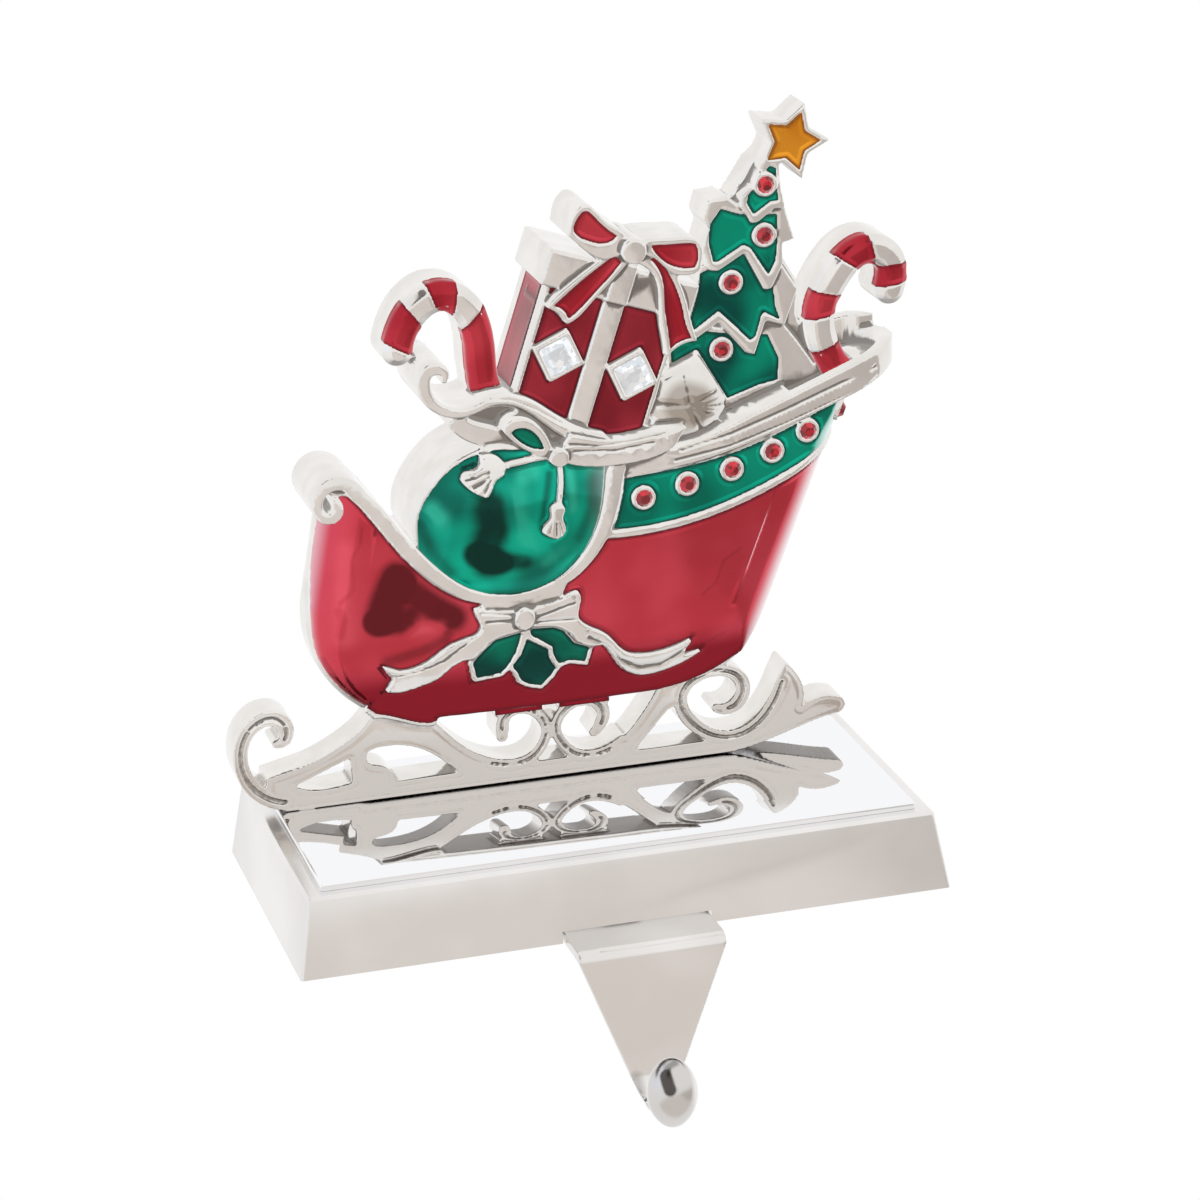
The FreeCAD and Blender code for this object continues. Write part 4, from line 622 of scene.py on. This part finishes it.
def measure_relief(piece, passes, gain=1.0):
    """Keep how far each point lies below (or above) its surroundings, in millimetres times a gain."""
    mesh = piece.data
    place = read_points(mesh, "co")
    normal = read_points(mesh, "normal")
    ends = numpy.empty(len(mesh.edges) * 2, dtype=numpy.int32)
    mesh.edges.foreach_get("vertices", ends)
    first, second = ends.reshape(-1, 2).T
    count = len(place)
    degree = numpy.maximum(numpy.bincount(ends, minlength=count), 1)
    smooth = place.copy()

    def around(values):
        """Each point's value taken from its neighbours."""
        total = numpy.bincount(first, values[second], count) + numpy.bincount(second, values[first], count)
        return total / degree

    for _ in range(passes):
        smooth = numpy.stack([around(smooth[:, axis]) for axis in range(3)], axis=1)
    relief = ((smooth - place) * normal).sum(axis=1) / MM
    for _ in range(2):
        relief = (relief + around(relief)) / 2
    keep_number(mesh, "relief", relief * gain)


def is_seam(tree, point, reach):
    """Whether a front surface goes on all round a point, so that an edge there is a seam and not a border."""
    for step in range(8):
        turn = step * math.pi / 4
        start = Vector((point.x + reach * math.cos(turn), IN_FRONT, point.z + reach * math.sin(turn)))
        place = tree.ray_cast(start, Vector((0, 1, 0)))[0]
        if place is None or abs(place.y - point.y) > SEAM_DROP:
            return False
    return True


def border_tree(piece, leave_seams):
    """Points along a piece's sharp edges, for finding the distance to them."""
    shape = bmesh.new()
    shape.from_mesh(piece.data)
    surface = BVHTree.FromBMesh(shape) if leave_seams else None
    points = []
    for edge in shape.edges:
        if len(edge.link_faces) == 2 and edge.calc_face_angle() > SHARP:
            start, end = edge.verts[0].co, edge.verts[1].co
            parts = max(1, int((end - start).length / BORDER_STEP))
            if not (leave_seams and is_seam(surface, start.lerp(end, 0.5), SEAM_REACH)):
                points.extend(start.lerp(end, part / parts) for part in range(parts + 1))
    shape.free()
    tree = kdtree.KDTree(len(points))
    for index, point in enumerate(points):
        tree.insert(point, index)
    tree.balance()
    return tree


def distances(piece, tree):
    """How far each point of a piece lies from the nearest border, in millimetres."""
    return [tree.find(vertex.co)[2] / MM for vertex in piece.data.vertices]


def pour_enamel(node, material, voxel, painted_light_strokes):
    """An enamel field with soft edges, each point knowing how far it is from the border."""
    piece = node_copy(node, node.replace("enamel", "poured"))
    tree = border_tree(piece, leave_seams=True)
    soften(piece, voxel, 4)
    middle = piece.vertex_groups.new(name="middle")
    for index, distance in enumerate(distances(piece, tree)):
        if distance > MIDDLE_START:
            middle.add([index], min(1.0, (distance - MIDDLE_START) / MIDDLE_FADE), "REPLACE")
    apply_modifier(piece, "SMOOTH", factor=0.5, iterations=60, vertex_group="middle")
    apply_modifier(piece, "DISPLACE", strength=SWELL, mid_level=0.0)
    piece.vertex_groups.clear()
    keep_number(piece.data, "shore", distances(piece, tree))
    keep_painted_light(piece, surface_of(piece), painted_light_strokes)
    select_only(piece)
    bpy.ops.object.shade_smooth()
    dress(piece, material)
    stand_for(piece, node)
    piece.visible_glossy = False


def ease_edges(node, name, width, material):
    """A copy of a flat-sided solid with its sharp edges eased."""
    piece = node_copy(node, name)
    apply_modifier(piece, "DECIMATE", decimate_type="DISSOLVE", angle_limit=math.radians(1.0))
    apply_modifier(piece, "BEVEL", width=width, segments=3, limit_method="ANGLE",
                   angle_limit=math.radians(30.0), harden_normals=False)
    select_only(piece)
    bpy.ops.object.shade_smooth_by_angle(angle=math.radians(28.0))
    dress(piece, material)
    stand_for(piece, node)


class HolderSettings(bpy.types.PropertyGroup):
    """Sizes and colours of the holder's finish."""

    nickel_colour: bpy.props.FloatVectorProperty(
        name="Nickel", description="Plating on raised places", subtype="COLOR", default=(0.85, 0.825, 0.795))
    nickel_shade: bpy.props.FloatVectorProperty(
        name="Nickel shade", description="Plating where it is duller", subtype="COLOR",
        default=(0.77, 0.745, 0.71))
    satin_colour: bpy.props.FloatVectorProperty(
        name="Satin", description="Plating of the foot", subtype="COLOR", default=(0.86, 0.84, 0.825))
    satin_shade: bpy.props.FloatVectorProperty(
        name="Satin shade", description="Plating of the foot where it is duller", subtype="COLOR",
        default=(0.80, 0.78, 0.76))
    # The patina colour also gives painted shade on faces that look down
    patina_and_shade_colour: bpy.props.FloatVectorProperty(
        name="Patina", description="Dark finish left in recesses", subtype="COLOR",
        default=(0.16, 0.138, 0.122))
    red_deep: bpy.props.FloatVectorProperty(
        name="Deep red", description="Red enamel where it is thick", subtype="COLOR",
        default=(0.56, 0.04, 0.062))
    red_bright: bpy.props.FloatVectorProperty(
        name="Bright red", description="Red enamel where it is thin", subtype="COLOR",
        default=(0.65, 0.06, 0.092))
    green_deep: bpy.props.FloatVectorProperty(
        name="Deep green", description="Green enamel where it is thick", subtype="COLOR",
        default=(0.0, 0.20, 0.13))
    green_bright: bpy.props.FloatVectorProperty(
        name="Bright green", description="Green enamel where it is thin", subtype="COLOR",
        default=(0.001, 0.38, 0.245))
    casting_voxel: bpy.props.FloatProperty(
        name="Casting grain", description="Smallest detail kept on the casting", subtype="DISTANCE",
        default=0.34 * MM)
    runner_voxel: bpy.props.FloatProperty(
        name="Runner grain", description="Smallest detail kept on the runner", subtype="DISTANCE",
        default=0.28 * MM)
    enamel_voxel: bpy.props.FloatProperty(
        name="Enamel grain", description="Smallest detail kept on the enamel", subtype="DISTANCE",
        default=0.3 * MM)


class HOLDER_OT_casting(bpy.types.Operator):
    """Soften the sleigh casting and plate it"""

    bl_idname = "holder.casting"
    bl_label = "Sleigh casting"

    def execute(self, context):
        settings = context.scene.holder
        nickel = make_nickel(settings)
        runner = part_of_casting("cast_runner", CASTING_PARTING + PARTING_OVERLAP, False)
        tree = border_tree(runner, leave_seams=False)
        soften(runner, settings.runner_voxel, 2)
        carve_edge_line(runner, tree)
        thin_out(runner, RUNNER_TRIANGLES)
        body = part_of_casting("cast_sleigh", CASTING_PARTING - PARTING_OVERLAP, True)
        surface = surface_of(body)
        soften(body, settings.casting_voxel, 3)
        calm(body, seen_at(surface, *PARCEL_MIDDLE), PARCEL_RADIUS, 14)
        score(body, surface, PARCEL_FOLDS, FOLD_HALF_WIDTH, FOLD_DEPTH)
        score(body, surface, SCORED_LINES, LINE_HALF_WIDTH, LINE_DEPTH)
        thin_out(body, SLEIGH_TRIANGLES)
        # Painted shade on the parcel
        keep_painted_light(body, surface, PARCEL_PAINTED_SHADE)
        for piece, gain in ((runner, 0.5), (body, 1.0)):
            measure_relief(piece, 4, gain)
            dress(piece, nickel)
            stand_for(piece, "sleigh_casting")
        body.visible_glossy = False
        return {"FINISHED"}


class HOLDER_OT_enamel(bpy.types.Operator):
    """Fill the casting's fields with clear enamel"""

    bl_idname = "holder.enamel"
    bl_label = "Enamel"

    def execute(self, context):
        settings = context.scene.holder
        # The border colours are painted shade along each field's border, and the pale colours a painted
        # reflection at its sides
        finishes = {
            "red": make_enamel(
                "red enamel", deep=settings.red_deep, bright=settings.red_bright, border=(0.13, 0.006, 0.012),
                wave=0.5, roughness=0.15, painted_side_sheen=(0.88, 0.70, 0.73), bottom_colour=(0.26, 0.006, 0.016)),
            "gift red": make_enamel(
                "gift red enamel", deep=(0.24, 0.012, 0.022), bright=(0.42, 0.03, 0.05),
                border=(0.07, 0.004, 0.008), wave=0.7, roughness=0.22),
            "stripe red": make_enamel(
                "stripe red enamel", deep=(0.40, 0.016, 0.03), bright=(0.58, 0.045, 0.065),
                border=(0.20, 0.01, 0.018), wave=0.4, roughness=0.2),
            "green": make_enamel(
                "green enamel", deep=settings.green_deep, bright=settings.green_bright,
                border=(0.0, 0.05, 0.038), wave=0.5, roughness=0.15, painted_side_sheen=(0.66, 0.82, 0.80)),
            "sack green": make_enamel(
                "sack enamel", deep=(0.0, 0.13, 0.09), bright=(0.002, 0.47, 0.31),
                border=(0.0, 0.05, 0.038), wave=0.6, roughness=0.14, painted_side_sheen=(0.66, 0.82, 0.80)),
            "leaf green": make_enamel(
                "leaf green enamel", deep=(0.0, 0.05, 0.038), bright=(0.0, 0.20, 0.12),
                border=(0.0, 0.03, 0.026), wave=1.6, roughness=0.2),
            "tree green": make_enamel(
                "tree green enamel", deep=(0.0, 0.09, 0.068), bright=(0.0, 0.36, 0.225),
                border=(0.0, 0.04, 0.032), wave=1.0, roughness=0.18),
            "amber": make_enamel(
                "amber enamel", deep=(0.72, 0.25, 0.012), bright=(0.86, 0.34, 0.025),
                border=(0.30, 0.09, 0.006), wave=0.3, roughness=0.25),
        }
        # Painted reflections on the sack and the red body
        painted_light_strokes = {"enamel_sack": SACK_PAINTED_REFLECTIONS, "enamel_body": BODY_PAINTED_REFLECTIONS}
        for name, nodes in ENAMEL_NODES.items():
            for node in nodes:
                pour_enamel(node, finishes[name], settings.enamel_voxel,
                            painted_light_strokes.get(node, []))
        return {"FINISHED"}


class HOLDER_OT_stones(bpy.types.Operator):
    """Set the red stones and the square crystals"""

    bl_idname = "holder.stones"
    bl_label = "Stones"

    def execute(self, context):
        red = make_stone("red stone", body=(0.66, 0.012, 0.028), shade=(0.20, 0.002, 0.006))
        clear = make_stone("clear crystal", body=(0.93, 0.95, 0.97), shade=(0.66, 0.70, 0.74))
        for node, glass in (("band_stones", red), ("tree_stones", red), ("gift_crystals", clear)):
            dress(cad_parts[node], glass)
            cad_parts[node].visible_glossy = False
        return {"FINISHED"}


class HOLDER_OT_base(bpy.types.Operator):
    """Finish the foot, its mirror and what it holds"""

    bl_idname = "holder.base"
    bl_label = "Base"

    def execute(self, context):
        settings = context.scene.holder
        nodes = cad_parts
        ease_edges("base_shell", "foot_shell", FOOT_EDGE, make_satin(settings))
        ease_edges("mirror_plate", "polished_step", STEP_EDGE, make_mirror())
        dress(nodes["ballast_block"],
              make_plain("cast ballast", (0.05, 0.05, 0.055), metallic=0.6, roughness=0.6))
        dress(nodes["foot_pad"], make_plain("felt", (0.02, 0.02, 0.024), metallic=0.0, roughness=0.95))
        screw = make_plain("zinc screw", (0.60, 0.60, 0.60), metallic=1.0, roughness=0.3)
        dress(nodes["figure_screws"], screw)
        dress(nodes["hook_screws"], screw)
        return {"FINISHED"}


class HOLDER_OT_hook(bpy.types.Operator):
    """Finish the stocking hook"""

    bl_idname = "holder.hook"
    bl_label = "Stocking hook"

    def execute(self, context):
        piece = node_copy("stocking_hook", "bent_hook")
        surface = surface_of(piece)
        soften(piece, HOOK_VOXEL, 3)
        score(piece, surface, [HOOK_LINE], HOOK_LINE_HALF_WIDTH, LINE_DEPTH)
        thin_out(piece, HOOK_TRIANGLES)
        measure_relief(piece, 10)
        # Painted dark reflection on the ball
        keep_painted_light(piece, surface, BALL_PAINTED_REFLECTION)
        material, graph = new_graph("polished hook")
        hollow = graph.measured("relief").spread(0.03, 0.14)
        height = graph.height()
        strip = graph.mix(graph.noise(45.0).spread(0.35, 0.65), colour(0.78, 0.755, 0.73),
                          colour(0.84, 0.82, 0.80))
        bright = graph.mix(height.spread(*BALL_LEVELS), colour(0.70, 0.68, 0.65), strip)
        # Painted dark reflection on the ball
        bright = graph.mix(graph.measured("painted_light").clamped(), bright, colour(0.10, 0.09, 0.085))
        graph.surface({
            "Base Color": graph.mix(hollow, bright, colour(0.2, 0.19, 0.18)),
            "Metallic": 1.0,
            "Roughness": height.spread(*BALL_LEVELS, 0.08, 0.24),
        })
        piece.visible_glossy = False
        dress(piece, material)
        stand_for(piece, "stocking_hook")
        return {"FINISHED"}


def add_card(name, corners, shade):
    """A studio card that shows only in reflections."""
    mesh = bpy.data.meshes.new(name)
    mesh.from_pydata(corners, [], [tuple(range(len(corners)))])
    card = bpy.data.objects.new(name, mesh)
    bpy.context.scene.collection.objects.link(card)
    material, graph = new_graph(name)
    glow = graph.node("ShaderNodeEmission", {}, {"Color": colour(*shade), "Strength": 1.0})
    graph.node("ShaderNodeOutputMaterial", {}, {"Surface": glow})
    dress(card, material)
    card.visible_camera = False
    card.visible_diffuse = False
    card.visible_shadow = False
    card.visible_transmission = False


def towards(azimuth, elevation, distance):
    """A point round the sleigh: azimuth from the front towards the right, both angles in degrees."""
    turn = math.radians(azimuth)
    rise = math.radians(elevation)
    return (distance * math.sin(turn) * math.cos(rise), -distance * math.cos(turn) * math.cos(rise),
            CARD_CENTRE_HEIGHT + distance * math.sin(rise))


class HOLDER_OT_stage(bpy.types.Operator):
    """Lay the floor and set lamps, world and camera"""

    bl_idname = "holder.stage"
    bl_label = "Stage"

    def execute(self, context):
        scene = context.scene
        bpy.ops.object.select_all(action="DESELECT")
        bpy.ops.mesh.primitive_plane_add(size=FLOOR_SIZE, location=(0, 0, FLOOR_HEIGHT))
        floor = context.object
        floor.name = "floor"
        material, graph = new_graph("pale floor")
        seen = graph.rays("Is Camera Ray", "Is Glossy Ray")
        plain = graph.node("ShaderNodeBsdfDiffuse", {}, {"Color": colour(0.85, 0.85, 0.85)})
        white = graph.node("ShaderNodeEmission", {}, {"Color": colour(1, 1, 1), "Strength": WHITE_SKY})
        mixed = graph.node("ShaderNodeMixShader", {}, {0: seen, 1: plain, 2: white})
        graph.node("ShaderNodeOutputMaterial", {}, {"Surface": mixed})
        dress(floor, material)

        low = FLOOR_HEIGHT + CARD_RISE
        add_card("grey table", [(-0.12, -0.08, low), (-1.3, -2.4, low), (0.5, -2.4, low), (0.12, -0.08, low)],
                 TABLE_GREY)
        add_card("grey table right",
                 [(0.12, -0.08, low), (0.5, -2.4, low), (2.4, -2.4, low), (0.7, -0.08, low)],
                 TABLE_GREY_RIGHT)
        upper = [towards(azimuth, elevation, UPPER_CARD_DISTANCE)
                 for azimuth, elevation in ((-54, 38), (-24, 34), (-18, 64), (-60, 66))]
        add_card("dark upper card", upper, UPPER_CARD_GREY)
        left = [towards(azimuth, elevation, COOL_CARD_DISTANCE)
                for azimuth, elevation in ((-135, -8), (-70, -8), (-74, 55), (-130, 55))]
        add_card("cool card", left, COOL_CARD_WHITE)

        world = bpy.data.worlds.new("studio")
        scene.world = world
        sky = Graph(world)
        seen = sky.rays("Is Camera Ray", "Is Glossy Ray", "Is Transmission Ray")
        soft = sky.node("ShaderNodeBackground", {}, {"Color": colour(1, 1, 1), "Strength": SOFT_SKY})
        white = sky.node("ShaderNodeBackground", {}, {"Color": colour(1, 1, 1), "Strength": WHITE_SKY})
        mixed = sky.node("ShaderNodeMixShader", {}, {0: seen, 1: soft, 2: white})
        sky.node("ShaderNodeOutputWorld", {}, {"Surface": mixed})

        for name, place, size, power in LAMPS:
            bpy.ops.object.light_add(type="AREA", location=place)
            lamp = context.object
            lamp.name = name
            lamp.data.size = size
            lamp.data.energy = power
            lamp.visible_glossy = False
            lamp.rotation_euler = (LAMP_AIM - Vector(place)).to_track_quat("-Z", "Y").to_euler()

        data = bpy.data.cameras.new("camera")
        camera = bpy.data.objects.new("camera", data)
        scene.collection.objects.link(camera)
        data.sensor_width = SENSOR_WIDTH
        data.lens = CAMERA_LENS
        data.clip_start = 0.01
        camera.matrix_world = Matrix((
            (CAMERA_RIGHT.x, CAMERA_UP.x, CAMERA_BACK.x, CAMERA_PLACE.x),
            (CAMERA_RIGHT.y, CAMERA_UP.y, CAMERA_BACK.y, CAMERA_PLACE.y),
            (CAMERA_RIGHT.z, CAMERA_UP.z, CAMERA_BACK.z, CAMERA_PLACE.z),
            (0, 0, 0, 1),
        ))
        scene.camera = camera
        scene.view_settings.view_transform = "Standard"
        return {"FINISHED"}


class HOLDER_PT_panel(bpy.types.Panel):
    """The holder's steps, in order"""

    bl_idname = "HOLDER_PT_panel"
    bl_label = "Stocking holder"
    bl_space_type = "VIEW_3D"
    bl_region_type = "UI"
    bl_category = "Holder"

    def draw(self, context):
        for step in STEPS:
            self.layout.operator(step.bl_idname)
        for name in HolderSettings.__annotations__:
            self.layout.prop(context.scene.holder, name)


STEPS = (HOLDER_OT_casting, HOLDER_OT_enamel, HOLDER_OT_stones, HOLDER_OT_base, HOLDER_OT_hook,
         HOLDER_OT_stage)
CLASSES = (HolderSettings,) + STEPS + (HOLDER_PT_panel,)


def register():
    """Make the classes and the scene's settings known."""
    for item in CLASSES:
        bpy.utils.register_class(item)
    bpy.types.Scene.holder = bpy.props.PointerProperty(type=HolderSettings)


def unregister():
    """Take the settings and the classes away again."""
    del bpy.types.Scene.holder
    for item in reversed(CLASSES):
        bpy.utils.unregister_class(item)


def corners(box):
    """Plain lists of a box's two corners."""
    return [[float(value) for value in corner] for corner in box]


def main():
    """Build the finish step by step."""
    register()
    for step in (bpy.ops.holder.casting, bpy.ops.holder.enamel, bpy.ops.holder.stones, bpy.ops.holder.base,
                 bpy.ops.holder.hook, bpy.ops.holder.stage):
        step()


if __name__ == "__main__":
    main()
